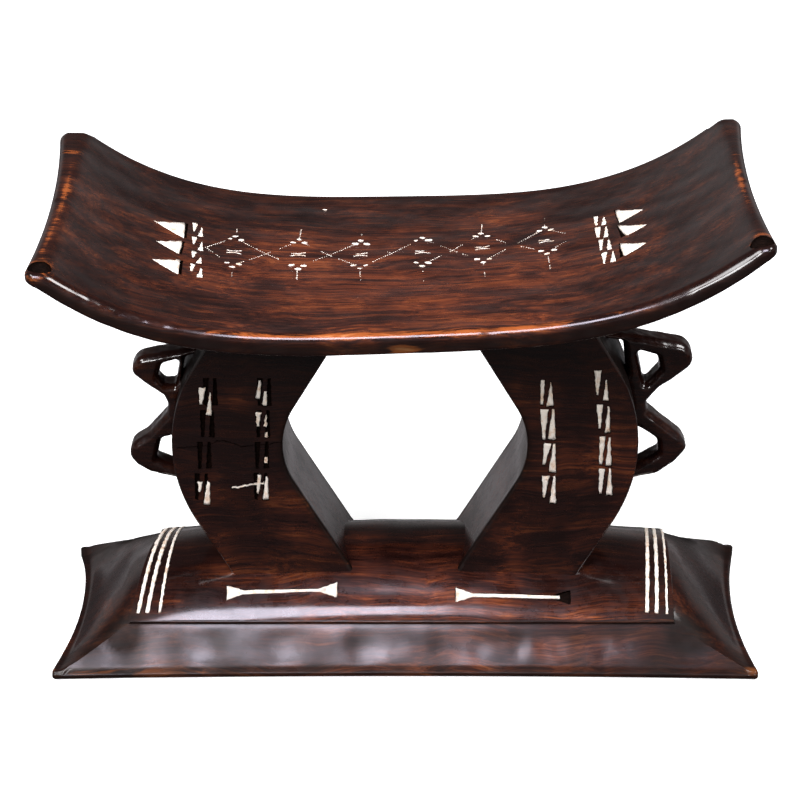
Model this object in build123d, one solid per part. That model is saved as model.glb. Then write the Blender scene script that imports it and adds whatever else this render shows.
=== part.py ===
from build123d import *
import math
import os

# A carved stool of the Akan kind: a saddle-curved seat on two crescent pillars, each with an openwork
# side loop, on a stepped and vaulted base, with white clay pressed into the chip-carved ornament.
# Millimetres. +X runs along the seat, +Y to the back, +Z up. The origin is on the floor, under the
# middle of the base.

# ---- seat ----------------------------------------------------------------------------------------
SEAT_LENGTH = 527.0          # over the corners
SEAT_DEPTH = 270.0           # front to back
SEAT_SHIFT = -5.0            # how far the seat's middle lies to the right of the base's
SEAT_FRONT_HEIGHT = 303.6    # top of the front edge at its lowest place
SEAT_BACK_HEIGHT = 300.2     # the same for the back edge
SEAT_FRONT_SWEEP = 68.5      # rise of the front edge's curve from there to the corners
SEAT_BACK_SWEEP = 76.0       # the same for the back edge
SEAT_CURVE = 3.4             # power of the curve: flat in the middle, steep at the ends
SEAT_FRONT_TILT = 2.1        # degrees that the front edge leans up to the right, from hand carving
SEAT_BACK_TILT = 0.8         # the same for the back edge
SEAT_RIM = 16.0              # upright thickness at the rim
SEAT_BELLY = 20.5            # upright thickness over the pillars
SEAT_BEVEL = 24.0            # width of the bevel from rim to belly, under the long edges
SEAT_END_HOLLOW = 7.0        # how far each end is scooped in between its two corners
SEAT_SIDE_HOLLOW = 0.5       # the same for the long edges
SEAT_CORNER = 9.0            # corner radius in plan
# Heights of the flat tops of the two ends, at the front and at the back.
SEAT_END_TOPS = {"left": (349.5, 354.0), "right": (370.0, 365.0)}

# ---- pillars -------------------------------------------------------------------------------------
PILLAR_DEPTH = 82.0          # front face to back face
PILLAR_LEAN = 30.5           # degrees of the straight limbs from upright, above and below the knee
KNEE_HEIGHT = 167.0          # height of the knee, where the crescent turns
INNER_KNEE = 102.0           # distance of the sharp inner knee from the middle
INNER_ROUND = 62.0           # radius that rounds the inner knee
OUTER_KNEE = 196.5           # distance of the sharp outer knee from the middle
OUTER_ROUND = 130.0          # radius that rounds the outer knee
PILLAR_EDGE = 2.5            # radius worn on the long edges of the outer face

# ---- joints between the wooden pieces ------------------------------------------------------------
JOINT_CLEARANCE = 0.2        # gap all round a tenon in its mortise
TENON_WIDTH = 46.0           # along X, on pillar heads and feet
TENON_DEPTH = 40.0           # along Y
TENON_SPREAD = 88.0          # distance of each pillar's tenons from the middle
HEAD_TENON = 8.0             # how far a head tenon goes up into the seat
FOOT_TENON = 16.0            # how far a foot tenon goes down into the base
LOOP_TONGUE = 7.0            # how far a loop's tongue goes into its pillar
LOOP_TONGUE_WIDTH = 12.0
LOOP_TONGUES = ((188.0, 16.0), (127.0, 7.0))    # height of the middle of each tongue, and its own height

# ---- side loops ----------------------------------------------------------------------------------
LOOP_DEPTH = 25.0            # front to back
LOOP_ROOT_TOP = {"left": 237.5, "right": 250.0}      # where the upper arm springs from the pillar
LOOP_ROOT_BOTTOM = 121.0
HOLE_ROUND = 2.0
# Each loop was cut by eye and the two are not quite alike. Corners of the outline from the upper root
# round both points to the lower root, as (distance from the middle, height, radius).
LOOP_CORNERS = {
    "left": (
        (165.5, 233.5, 12),
        (201.5, 225.5, 7),
        (207.5, 215.0, 6),
        (196.0, 204.5, 12),
        (183.0, 194.0, 4),
        (180.0, 187.0, 3),
        (181.0, 180.0, 3),
        (196.5, 162.0, 14),
        (208.0, 153.0, 6),
        (210.5, 144.0, 5),
        (204.5, 137.0, 6),
        (195.0, 129.5, 12),
    ),
    "right": (
        (175.5, 244.0, 12),
        (212.0, 235.5, 7),
        (217.5, 222.5, 7),
        (203.5, 208.5, 12),
        (192.5, 201.0, 5),
        (183.5, 189.5, 3),
        (184.5, 182.5, 3),
        (211.0, 160.5, 8),
        (216.0, 150.5, 6),
        (206.5, 138.0, 12),
        (193.5, 128.0, 12),
    ),
}
# Corners of the gap behind the post, of the upper opening and of the lower one. Those nearest the
# middle lie inside the pillar.
LOOP_OPENINGS = {
    "left": (
        ((152.0, 231.0), (165.5, 226.5), (168.0, 208.0), (158.0, 202.0)),
        ((170.0, 224.5), (183.5, 220.5), (186.5, 210.0), (181.5, 204.0), (173.5, 204.5)),
        ((168.0, 162.5), (185.0, 158.5), (190.0, 141.5), (168.0, 131.0)),
    ),
    "right": (
        ((148.0, 241.5), (167.0, 240.0), (170.5, 214.0), (160.0, 206.0)),
        ((175.0, 232.0), (190.0, 227.5), (192.0, 217.0), (181.0, 204.0)),
        ((168.0, 173.5), (192.0, 158.0), (193.5, 147.0), (168.0, 131.0)),
    ),
}

# ---- base ----------------------------------------------------------------------------------------
BASE_LENGTH = 538.5          # over the corners
BASE_DEPTH = 202.0           # over the corners
BASE_END_HOLLOW = 11.0       # how far each end is scooped in
BASE_SIDE_HOLLOW = 4.5       # how far each long side is scooped in
BASE_CORNER = 5.0
BASE_LIP = 6.5               # thickness at the corners
LEDGE_DEPTH = 144.0          # width of the vault across the two ledges
LEDGE_END = 64.25            # how far the vault stops short of each end
LEDGE_LENGTH = BASE_LENGTH - 2 * LEDGE_END
LEDGE_HEIGHT = 33.0          # top of the sloping skirt
LEDGE_STEP = 3.0             # height of the step from skirt to vault
VAULT_CREST = 74.4           # height of the vault in the middle
VAULT_DROP = 15.5            # how much lower the vault's crest is at its ends
END_STEP = 2.5               # step from the vault down to the end slopes

# ---- ornament ------------------------------------------------------------------------------------
CARVING_DEPTH = 2.5          # depth of the chip-carved recesses
CLAY_BELOW = 0.7             # how far the clay lies under the wood's surface
SEAT_TRIANGLE_LENGTH = 20.0
SEAT_TRIANGLE_WIDTH = 24.0
SEAT_TRIANGLE_PITCH = 34.0
SEAT_TRIANGLES = 3
# Places on the seat, as (distance in from its end, distance behind its middle).
SEAT_TRIANGLE_PLACE = {"left": (102.0, 4.5), "right": (97.0, 18.5)}       # base of the middle one
SEAT_LADDER_PLACE = {"left": (113.5, 8.0), "right": (109.5, 16.5)}
SEAT_LADDER_PITCH = 24.5
LADDER_ROWS = 4
LADDER_CHIP_WIDTH = 4.6
LADDER_CHIP_NARROW = 1.8
LADDER_CHIP_GAP = 1.6
LADDER_ROW_GAP = 2.6
PILLAR_LADDER_PITCH = 26.5
PILLAR_LADDER_HEIGHT = 173.5
PILLAR_LADDER_SPREADS = (107.0, 149.5)       # distances of the two ladders from the middle
STRIPES = 3
STRIPE_WIDTH = 3.2
STRIPE_PITCH = 9.0
STRIPE_FIRST = 21.0                          # distance of the inner stripe in from the vault's end
STRIPE_REACH = 124.0                         # length of a stripe, measured along Y
BAR_LENGTH = 84.0
BAR_PLACE = 88.0                             # distance of a bar's middle from the stool's middle
BAR_ACROSS = 55.5                            # distance of a bar in front of or behind the middle
BAR_WIDTH = 2.6
BAR_FLARE = 11.0                             # width of the flared ends
BAR_FLARE_LENGTH = 11.0

MARGIN = 30.0                                # how far a blank or a cut runs past what it meets
CUT_OVER = 8.0                               # how far the carving cuts start over the surface
FLAT_CROWN = 0.5                             # rise of an arch that is all but flat
SIDES = {"left": -1, "right": 1}
SEAT_POINTS = 15                             # points along each curve of the seat


def between(front, back, y):
    """Value at y, between the seat's front edge and its back edge."""
    return front + (back - front) * (y / SEAT_DEPTH + 0.5)


def seat_tilt(y):
    """Lean of the seat along X, as a slope."""
    return math.tan(math.radians(between(SEAT_FRONT_TILT, SEAT_BACK_TILT, y)))


def seat_top(x, y):
    """Height of the seat's upper face."""
    out = x - SEAT_SHIFT
    lowest = between(SEAT_FRONT_HEIGHT, SEAT_BACK_HEIGHT, y)
    sweep = between(SEAT_FRONT_SWEEP, SEAT_BACK_SWEEP, y)
    return lowest + out * seat_tilt(y) + sweep * abs(2 * out / SEAT_LENGTH) ** SEAT_CURVE


def seat_slope(x, y):
    """Slope of the seat's upper face along X."""
    out = 2 * (x - SEAT_SHIFT) / SEAT_LENGTH
    sweep = between(SEAT_FRONT_SWEEP, SEAT_BACK_SWEEP, y)
    steep = sweep * SEAT_CURVE * abs(out) ** (SEAT_CURVE - 1) * 2 / SEAT_LENGTH
    return seat_tilt(y) + math.copysign(steep, out)


def seat_underside(x, y, belly):
    """Height of the seat's lower face, where the thickness at the middle is belly."""
    share = min(1.0, abs(2 * (x - SEAT_SHIFT) / SEAT_LENGTH))
    return seat_top(x, y) - SEAT_RIM - (belly - SEAT_RIM) * (1 - share ** 4)


def seat_section(y, belly):
    """Section of the seat across Y, a little longer than the seat."""
    reach = (SEAT_LENGTH + MARGIN) / 2
    stations = [SEAT_SHIFT + reach * (2 * i / (SEAT_POINTS - 1) - 1) for i in range(SEAT_POINTS)]
    upper = [(x, seat_top(x, y)) for x in stations]
    lower = [(x, seat_underside(x, y, belly)) for x in stations]
    outline = [
        Spline(*upper),
        Line(upper[-1], lower[-1]),
        Spline(*reversed(lower)),
        Line(lower[0], upper[0]),
    ]
    return Plane.XZ.offset(-y) * make_face(outline)


def hollow_plan(length, depth, end_hollow, side_hollow, corner):
    """Rectangle with all four sides scooped in and round corners, seen from above."""
    x = length / 2
    y = depth / 2
    plan = make_face([
        ThreePointArc((-x, -y), (0, side_hollow - y), (x, -y)),
        ThreePointArc((x, -y), (x - end_hollow, 0), (x, y)),
        ThreePointArc((x, y), (0, y - side_hollow), (-x, y)),
        ThreePointArc((-x, y), (end_hollow - x, 0), (-x, -y)),
    ])
    return fillet(plan.vertices(), radius=corner)


def seat_blank():
    """The seat before its mortises and carving."""
    half = SEAT_DEPTH / 2
    blank = loft([
        seat_section(-half, SEAT_RIM),
        seat_section(SEAT_BEVEL - half, SEAT_BELLY),
        seat_section(half - SEAT_BEVEL, SEAT_BELLY),
        seat_section(half, SEAT_RIM),
    ], ruled=True)
    for name, (front, back) in SEAT_END_TOPS.items():
        over = SEAT_FRONT_HEIGHT + SEAT_LENGTH / 2
        above = polygon((-half, front), (half, back), (half, over), (-half, over))
        side = SIDES[name]
        start = Plane.YZ.offset(SEAT_SHIFT + side * SEAT_LENGTH / 4)
        blank -= extrude(start * above, amount=side * SEAT_LENGTH / 2)
    plan = hollow_plan(SEAT_LENGTH, SEAT_DEPTH, SEAT_END_HOLLOW, SEAT_SIDE_HOLLOW, SEAT_CORNER)
    return blank & Pos(SEAT_SHIFT, 0, 0) * extrude(plan, amount=2 * SEAT_FRONT_HEIGHT)


def knee_outline(side, knee, radius):
    """Knee of a pillar's face: a straight limb, a round and a straight limb."""
    reach = SEAT_FRONT_HEIGHT - KNEE_HEIGHT + MARGIN
    back = side * (knee - reach * math.tan(math.radians(PILLAR_LEAN)))
    points = [(back, KNEE_HEIGHT + reach), (side * knee, KNEE_HEIGHT), (back, KNEE_HEIGHT - reach)]
    return FilletPolyline(*points, radius=radius)


def pillar_blank(side):
    """Crescent pillar, longer than needed at head and foot."""
    inner = knee_outline(side, INNER_KNEE, INNER_ROUND)
    outer = knee_outline(side, OUTER_KNEE, OUTER_ROUND)
    section = make_face([inner, Line(inner @ 1, outer @ 1), outer, Line(outer @ 0, inner @ 0)])
    blank = extrude(Plane.XZ * section, amount=PILLAR_DEPTH / 2, both=True)
    return fillet([e for e in blank.edges() if is_outer_edge(e)], radius=PILLAR_EDGE)


def is_outer_edge(edge):
    """Whether an edge runs up a pillar's outer face, at its front or back."""
    middle = edge.center()
    lean = math.tan(math.radians(PILLAR_LEAN))
    half_way = (INNER_KNEE + OUTER_KNEE) / 2 - lean * abs(middle.Z - KNEE_HEIGHT)
    on_face = abs(abs(middle.Y) - PILLAR_DEPTH / 2) < 0.1
    return on_face and abs(middle.X) > half_way and edge.length > MARGIN


def head_seat(side):
    """Height of the seat's underside over a pillar's tenon."""
    return seat_underside(side * TENON_SPREAD, 0, SEAT_BELLY)


def foot_seat():
    """Height of the vault under a pillar's tenon."""
    return vault_crest(TENON_SPREAD)


def tenon(side, low, high, clearance):
    """Block of a pillar's tenon, grown by a clearance to make its mortise."""
    width = TENON_WIDTH + 2 * clearance
    depth = TENON_DEPTH + 2 * clearance
    return Pos(side * TENON_SPREAD, 0, (low + high) / 2) * Box(width, depth, high - low)


def head_tenon(side, clearance=0.0):
    return tenon(side, head_seat(side) - HEAD_TENON, head_seat(side) + HEAD_TENON + clearance, clearance)


def foot_tenon(side, clearance=0.0):
    return tenon(side, foot_seat() - FOOT_TENON - clearance, foot_seat() + FOOT_TENON, clearance)


def outer_face(height):
    """Distance of a pillar's outer face from the middle at a height."""
    lean = math.radians(PILLAR_LEAN)
    away = abs(height - KNEE_HEIGHT)
    centre = OUTER_KNEE - OUTER_ROUND / math.cos(lean)
    if away > OUTER_ROUND * math.sin(lean):
        return OUTER_KNEE - away * math.tan(lean)
    return centre + math.sqrt(OUTER_ROUND ** 2 - away ** 2)


def loop_outline(name):
    """Outer outline of a side loop: two stacked points with a waist between."""
    top = LOOP_ROOT_TOP[name]
    first = (outer_face(top) - LOOP_TONGUE, top, 0)
    last = (outer_face(LOOP_ROOT_BOTTOM) - LOOP_TONGUE, LOOP_ROOT_BOTTOM, 0)
    return rounded_face(SIDES[name], [first, *LOOP_CORNERS[name], last])


def loop_openings(name):
    """The three openings of a side loop: the gap behind its post, and one in each point."""
    return [
        rounded_face(SIDES[name], [(x, z, HOLE_ROUND) for x, z in corners])
        for corners in LOOP_OPENINGS[name]
    ]


def rounded_face(side, corners):
    """Face from corners given as distance from the middle, height and radius."""
    points = [(side * x, z) for x, z, radius in corners]
    radii = [radius for x, z, radius in corners]
    return make_face(FilletPolyline(*points, radius=radii, close=True).edges())


def loop_tongues(side, clearance=0.0):
    """The two tongues that hold a side loop in its pillar, grown by a clearance to make their slots."""
    tongues = []
    for middle, height in LOOP_TONGUES:
        inner = outer_face(middle) - LOOP_TONGUE - clearance
        outer = outer_face(middle) + LOOP_TONGUE / 2
        block = Box(outer - inner, LOOP_TONGUE_WIDTH + 2 * clearance, height + 2 * clearance)
        tongues.append(Pos(side * (inner + outer) / 2, 0, middle) * block)
    return tongues


def loop_body(name):
    """A side loop, before it is trimmed to its pillar."""
    body = extrude(Plane.XZ * loop_outline(name), amount=LOOP_DEPTH / 2, both=True)
    for opening in loop_openings(name):
        body -= extrude(Plane.XZ * opening, amount=LOOP_DEPTH, both=True)
    return body


def vault_crest(x):
    """Height of the vault's crest, which is an easy arc along the base."""
    return VAULT_CREST - VAULT_DROP * (2 * x / LEDGE_LENGTH) ** 2


def vault_arc(x):
    """Centre height and radius of the vault's arc at x."""
    half = LEDGE_DEPTH / 2
    rise = vault_crest(x) - LEDGE_HEIGHT - LEDGE_STEP
    radius = (half ** 2 + rise ** 2) / (2 * rise)
    return vault_crest(x) - radius, radius


def vault_face(x):
    """Section of the vault, with its lower part sunk in the skirt."""
    half = LEDGE_DEPTH / 2
    foot = LEDGE_HEIGHT + LEDGE_STEP
    crest = vault_crest(x)
    floor = LEDGE_HEIGHT / 2
    return Plane.YZ.offset(x) * make_face([
        Line((-half, floor), (-half, foot)),
        ThreePointArc((-half, foot), (0, crest), (half, foot)),
        Line((half, foot), (half, floor)),
        Line((half, floor), (-half, floor)),
    ])


def skirt_corner(z):
    """Distance of the sloping skirt from the middle at a height."""
    run = (BASE_DEPTH - LEDGE_DEPTH) / 2
    return BASE_DEPTH / 2 - run * (z - BASE_LIP) / (LEDGE_HEIGHT - BASE_LIP)


def end_face(x, shoulder, crest):
    """Section of an end slope: the skirt below the shoulder and an arch over it."""
    outside = skirt_corner(0)
    edge = skirt_corner(shoulder)
    return Plane.YZ.offset(x) * make_face([
        Line((-outside, 0), (-edge, shoulder)),
        ThreePointArc((-edge, shoulder), (0, crest), (edge, shoulder)),
        Line((edge, shoulder), (outside, 0)),
        Line((outside, 0), (-outside, 0)),
    ])


def base_blank():
    """The base before its mortises and carving."""
    reach = LEDGE_LENGTH / 2
    rim = BASE_LENGTH / 2 - BASE_END_HOLLOW / 2
    skirt = end_face(-reach, LEDGE_HEIGHT, LEDGE_HEIGHT + FLAT_CROWN)
    body = extrude(skirt, amount=LEDGE_LENGTH)
    body += loft([vault_face(-reach), vault_face(0), vault_face(reach)])
    for side in SIDES.values():
        shoulder = end_face(side * reach, LEDGE_HEIGHT, vault_crest(reach) - END_STEP)
        rim_face = end_face(side * rim, BASE_LIP, BASE_LIP + FLAT_CROWN)
        tip_face = end_face(side * (rim + MARGIN), BASE_LIP, BASE_LIP + FLAT_CROWN)
        body += loft([shoulder, rim_face], ruled=True)
        body += loft([rim_face, tip_face], ruled=True)
    plan = hollow_plan(BASE_LENGTH, BASE_DEPTH, BASE_END_HOLLOW, BASE_SIDE_HOLLOW, BASE_CORNER)
    return body & extrude(plan, amount=2 * VAULT_CREST)


def carve(plane, outline, low=-CARVING_DEPTH, high=CUT_OVER):
    """Solid of an outline on a plane, between two heights over that plane."""
    return extrude(plane * Pos(0, 0, low) * outline, amount=high - low)


def clay_and_recess(plane, outline):
    """The clay filling of a chip-carved outline, and the recess that it lies in."""
    return carve(plane, outline, high=-CLAY_BELOW), carve(plane, outline)


def seat_plane(x, y):
    """Plane touching the seat's upper face at x and y."""
    slope = seat_slope(x, y)
    return Plane(origin=(x, y, seat_top(x, y)), x_dir=(1, 0, slope), z_dir=(-slope, 0, 1))


def polygon(*points):
    """Closed face through points."""
    return make_face(Polyline(*points, close=True))


def on_seat(name, place):
    """Distance along X of a place given from the seat's end."""
    return SEAT_SHIFT + SIDES[name] * (SEAT_LENGTH / 2 - place[0])


def seat_triangles(name):
    """Three triangles that point to the seat's end."""
    side = SIDES[name]
    x = on_seat(name, SEAT_TRIANGLE_PLACE[name])
    middle = SEAT_TRIANGLE_PLACE[name][1]
    half = SEAT_TRIANGLE_WIDTH / 2
    shape = polygon((0, -half), (0, half), (side * SEAT_TRIANGLE_LENGTH, 0))
    rows = [i - (SEAT_TRIANGLES - 1) / 2 for i in range(SEAT_TRIANGLES)]
    return [clay_and_recess(seat_plane(x, middle + row * SEAT_TRIANGLE_PITCH), shape) for row in rows]


def ladder_chips(pitch):
    """Two long chips side by side, one narrow at the top and one narrow at the bottom."""
    half = (pitch - LADDER_ROW_GAP) / 2
    near = LADDER_CHIP_GAP / 2
    far = near + LADDER_CHIP_WIDTH
    tip = far - LADDER_CHIP_NARROW
    first = polygon((-far, half), (-near, half), (-tip, -half), (-far, -half))
    second = polygon((near, -half), (far, -half), (far, half), (tip, half))
    return [first, second]


def seat_ladder(name):
    """Four rows of paired chips, beside the triangles."""
    x = on_seat(name, SEAT_LADDER_PLACE[name])
    middle = SEAT_LADDER_PLACE[name][1]
    pairs = []
    for i in range(LADDER_ROWS):
        y = middle + (i - (LADDER_ROWS - 1) / 2) * SEAT_LADDER_PITCH
        for chip in ladder_chips(SEAT_LADDER_PITCH):
            pairs.append(clay_and_recess(seat_plane(x, y), chip))
    return pairs


def pillar_ladders(side, face):
    """The two ladders on a pillar's front (-1) or back (1) face."""
    pairs = []
    for spread in PILLAR_LADDER_SPREADS:
        for i in range(LADDER_ROWS):
            z = PILLAR_LADDER_HEIGHT + (i - (LADDER_ROWS - 1) / 2) * PILLAR_LADDER_PITCH
            origin = (side * spread, face * PILLAR_DEPTH / 2, z)
            plane = Plane(origin=origin, x_dir=(-face, 0, 0), z_dir=(0, face, 0))
            for chip in ladder_chips(PILLAR_LADDER_PITCH):
                pairs.append(clay_and_recess(plane, chip))
    return pairs


def base_stripes(side):
    """Stripes that run over the vault from front to back, near one end."""
    pairs = []
    for i in range(STRIPES):
        x = side * (LEDGE_LENGTH / 2 - STRIPE_FIRST + i * STRIPE_PITCH)
        centre, radius = vault_arc(x)
        heights = (radius - CARVING_DEPTH, radius - CLAY_BELOW, radius + CUT_OVER)
        plane = Plane.YZ.offset(x)
        clay, recess = [
            extrude(plane * arch(centre, heights[0], outside), amount=STRIPE_WIDTH / 2, both=True)
            for outside in heights[1:]
        ]
        pairs.append((clay, recess))
    return pairs


def arch(centre, inside, outside):
    """Band between two arcs about one centre on the stool's middle plane."""
    angle = math.asin(STRIPE_REACH / 2 / inside)
    ends = []
    for radius in (inside, outside):
        y = radius * math.sin(angle)
        z = centre + radius * math.cos(angle)
        ends.append(((-y, z), (0, centre + radius), (y, z)))
    low, high = ends
    return make_face([
        ThreePointArc(*low),
        Line(low[2], high[2]),
        ThreePointArc(*reversed(high)),
        Line(high[0], low[0]),
    ])


def base_bars(face):
    """Two thin bars with flared ends, on the vault's front (-1) or back (1) slope."""
    half = BAR_LENGTH / 2
    neck = half - BAR_FLARE_LENGTH
    wide = BAR_FLARE / 2
    thin = BAR_WIDTH / 2
    right = [(neck, -thin), (half, -wide), (half, wide), (neck, thin)]
    left = [(-x, -y) for x, y in right]
    bar = polygon(*right, *left)
    pairs = []
    for side in SIDES.values():
        centre, radius = vault_arc(BAR_PLACE)
        rise = math.sqrt(radius ** 2 - BAR_ACROSS ** 2)
        origin = (side * BAR_PLACE, face * BAR_ACROSS, centre + rise)
        plane = Plane(origin=origin, x_dir=(1, 0, 0), z_dir=(0, face * BAR_ACROSS, rise))
        pairs.append(clay_and_recess(plane, bar))
    return pairs


def largest(shape):
    """The largest solid of a shape, which is what is left of a blank once it is trimmed."""
    return max(shape.solids(), key=lambda solid: solid.volume)


def build_stool():
    """All pieces of the stool, by name."""
    nodes = {}
    clay = {}
    seat = seat_blank()
    base = base_blank()
    plain_seat = seat
    plain_base = base
    for name, side in SIDES.items():
        blank = pillar_blank(side)
        pillar = largest(blank - plain_seat - plain_base)
        pillar += head_tenon(side)
        pillar += foot_tenon(side)
        seat -= head_tenon(side, JOINT_CLEARANCE)
        base -= foot_tenon(side, JOINT_CLEARANCE)
        loops = largest(loop_body(name) - blank)
        for tongue, slot in zip(loop_tongues(side), loop_tongues(side, JOINT_CLEARANCE)):
            loops += tongue
            pillar -= slot
        for face_name, face in {"front": -1, "back": 1}.items():
            clay[f"{name}_pillar_{face_name}_clay"] = pillar_ladders(side, face)
        for face_name in ("front", "back"):
            for filling, recess in clay[f"{name}_pillar_{face_name}_clay"]:
                pillar -= recess
        clay[f"seat_{name}_triangle_clay"] = seat_triangles(name)
        clay[f"seat_{name}_ladder_clay"] = seat_ladder(name)
        clay[f"base_{name}_stripe_clay"] = base_stripes(side)
        nodes[f"{name}_pillar"] = pillar
        nodes[f"{name}_side_loops"] = loops
    clay["base_front_bar_clay"] = base_bars(-1)
    clay["base_back_bar_clay"] = base_bars(1)
    for name, pairs in clay.items():
        for filling, recess in pairs:
            if name.startswith("seat"):
                seat -= recess
            if name.startswith("base"):
                base -= recess
        nodes[name] = Compound([filling for filling, recess in pairs])
    nodes["seat"] = seat
    nodes["base"] = base
    return nodes


os.makedirs("parts", exist_ok=True)
for node, shape in build_stool().items():
    solids = shape.solids()
    export_step(solids[0] if len(solids) == 1 else Compound(solids), f"parts/{node}.step")
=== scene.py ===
"""Dressed model of a carved saddle-seat stool of the Akan kind, with white clay in its chip carving.

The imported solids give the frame. Sizes here are in millimetres, in the frame of the solids, and
meshes are made in metres. Each wooden piece is laid out as two faces and a wall between them, then
its chip carving is cut, and the clay is pressed in.
"""

import logging
import math
from dataclasses import dataclass, field, replace
from enum import Enum
from typing import Any, Protocol, Sequence

import bmesh
import bpy
import numpy as np
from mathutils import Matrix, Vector

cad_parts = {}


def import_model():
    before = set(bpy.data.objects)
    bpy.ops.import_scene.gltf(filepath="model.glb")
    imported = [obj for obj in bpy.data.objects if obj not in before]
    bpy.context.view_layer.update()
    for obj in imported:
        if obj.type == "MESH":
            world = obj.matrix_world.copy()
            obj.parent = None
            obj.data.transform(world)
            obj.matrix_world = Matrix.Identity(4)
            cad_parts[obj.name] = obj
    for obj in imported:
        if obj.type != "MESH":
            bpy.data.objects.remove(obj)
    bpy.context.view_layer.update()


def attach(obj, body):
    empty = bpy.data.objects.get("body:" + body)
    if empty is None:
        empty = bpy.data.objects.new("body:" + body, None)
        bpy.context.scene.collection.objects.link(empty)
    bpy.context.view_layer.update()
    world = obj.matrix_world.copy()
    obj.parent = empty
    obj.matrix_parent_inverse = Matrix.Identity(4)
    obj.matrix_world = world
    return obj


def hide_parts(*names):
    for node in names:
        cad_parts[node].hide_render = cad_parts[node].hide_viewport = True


LOG = logging.getLogger("stool")
MM = 0.001
Array = np.ndarray


class Side(Enum):
    """The two ends of the stool."""

    LEFT = -1
    RIGHT = 1

    @property
    def word(self) -> str:
        """Name of the side as the solids use it."""
        return self.name.lower()


class Face(Enum):
    """The two faces of a pillar or slopes of the vault."""

    FRONT = -1
    BACK = 1

    @property
    def word(self) -> str:
        """Name of the face as the solids use it."""
        return self.name.lower()


# ---- small tools for numbers ---------------------------------------------------------------------


def mix(first: Any, last: Any, share: Any) -> Any:
    """Value part of the way from first to last."""
    return first + (last - first) * share


def soft_least(first: Array, second: Array, soft: float) -> Array:
    """Lesser of two heights with the ridge between them worn round.

    Args:
        first: One set of heights.
        second: The other set.
        soft: Width of the worn ridge, in the same unit.

    Returns:
        Heights that never exceed the lesser of the two.
    """
    share = np.clip(0.5 + 0.5 * (second - first) / soft, 0, 1)
    return second * (1 - share) + first * share - soft * share * (1 - share)


def spot(points: Array, centre: Sequence[float], reach: Sequence[float]) -> Array:
    """Soft spot of 1 at a centre that fades out over a reach along each axis."""
    away = (points - np.array(centre, float)) / np.array(reach, float)
    return np.exp(-0.5 * (away**2).sum(axis=-1))


def bell(away: Any, reach: float, power: int = 2) -> Any:
    """Share of 1 at no distance that falls off over a reach, the more squarely the higher the power."""
    return np.exp(-((away / reach) ** power))


def round_off(inset: Array, radius: Any) -> Array:
    """How far an edge that is rounded to a radius lies under the face, at an inset from the edge."""
    short = np.clip(radius - inset, 0, radius)
    return radius - np.sqrt(np.maximum(radius**2 - short**2, 0))


def graded(insets: Sequence[float], reach: float, step: float) -> Array:
    """Places across a width, close together near both edges.

    Args:
        insets: Distances from an edge, rising from 0.
        reach: Half of the width.
        step: Spacing of the places between.

    Returns:
        Places from -reach to reach.
    """
    inner = reach - insets[-1]
    count = max(2, int(round(2 * inner / step)))
    middle = np.linspace(-inner, inner, count + 1)
    rim = reach - np.array(insets[:-1], float)
    return np.concatenate([-rim, middle, rim[::-1]])


@dataclass(frozen=True)
class BladeWork:
    """Slow unevenness that an adze and a knife leave on a surface."""

    depth: float
    length: float
    seed: int

    def at(self, points: Array) -> Array:
        """Depth that was cut away at points.

        Args:
            points: Points in millimetres, the last axis being x, y, z.

        Returns:
            Depths from 0 to the whole depth.
        """
        rng = np.random.default_rng(self.seed)
        total = np.zeros(points.shape[:-1])
        waves = 9
        for _ in range(waves):
            direction = rng.normal(size=3)
            direction /= np.linalg.norm(direction)
            pace = 2 * math.pi / (self.length * rng.uniform(0.6, 1.7))
            total += np.sin(points @ direction * pace + rng.uniform(0, 2 * math.pi))
        return self.depth * np.clip(0.5 + total / (waves * 0.9), 0, 1)


# ---- meshes --------------------------------------------------------------------------------------


def new_object(name: str, points: Array, faces: Sequence[Sequence[int]]) -> bpy.types.Object:
    """Object from points in millimetres, with its faces turned outwards and smooth.

    Args:
        name: Name of the object and its mesh.
        points: Corner points in millimetres.
        faces: Corner numbers of each face.

    Returns:
        The linked object, at the origin.
    """
    mesh = bpy.data.meshes.new(name)
    mesh.from_pydata((np.asarray(points, float) * MM).tolist(), [], [list(f) for f in faces])
    work = bmesh.new()
    work.from_mesh(mesh)
    bmesh.ops.remove_doubles(work, verts=work.verts, dist=1e-6)
    bmesh.ops.dissolve_degenerate(work, edges=work.edges, dist=1e-7)
    bmesh.ops.recalc_face_normals(work, faces=work.faces)
    work.to_mesh(mesh)
    work.free()
    mesh.shade_smooth()
    obj = bpy.data.objects.new(name, mesh)
    bpy.context.scene.collection.objects.link(obj)
    return obj


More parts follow.
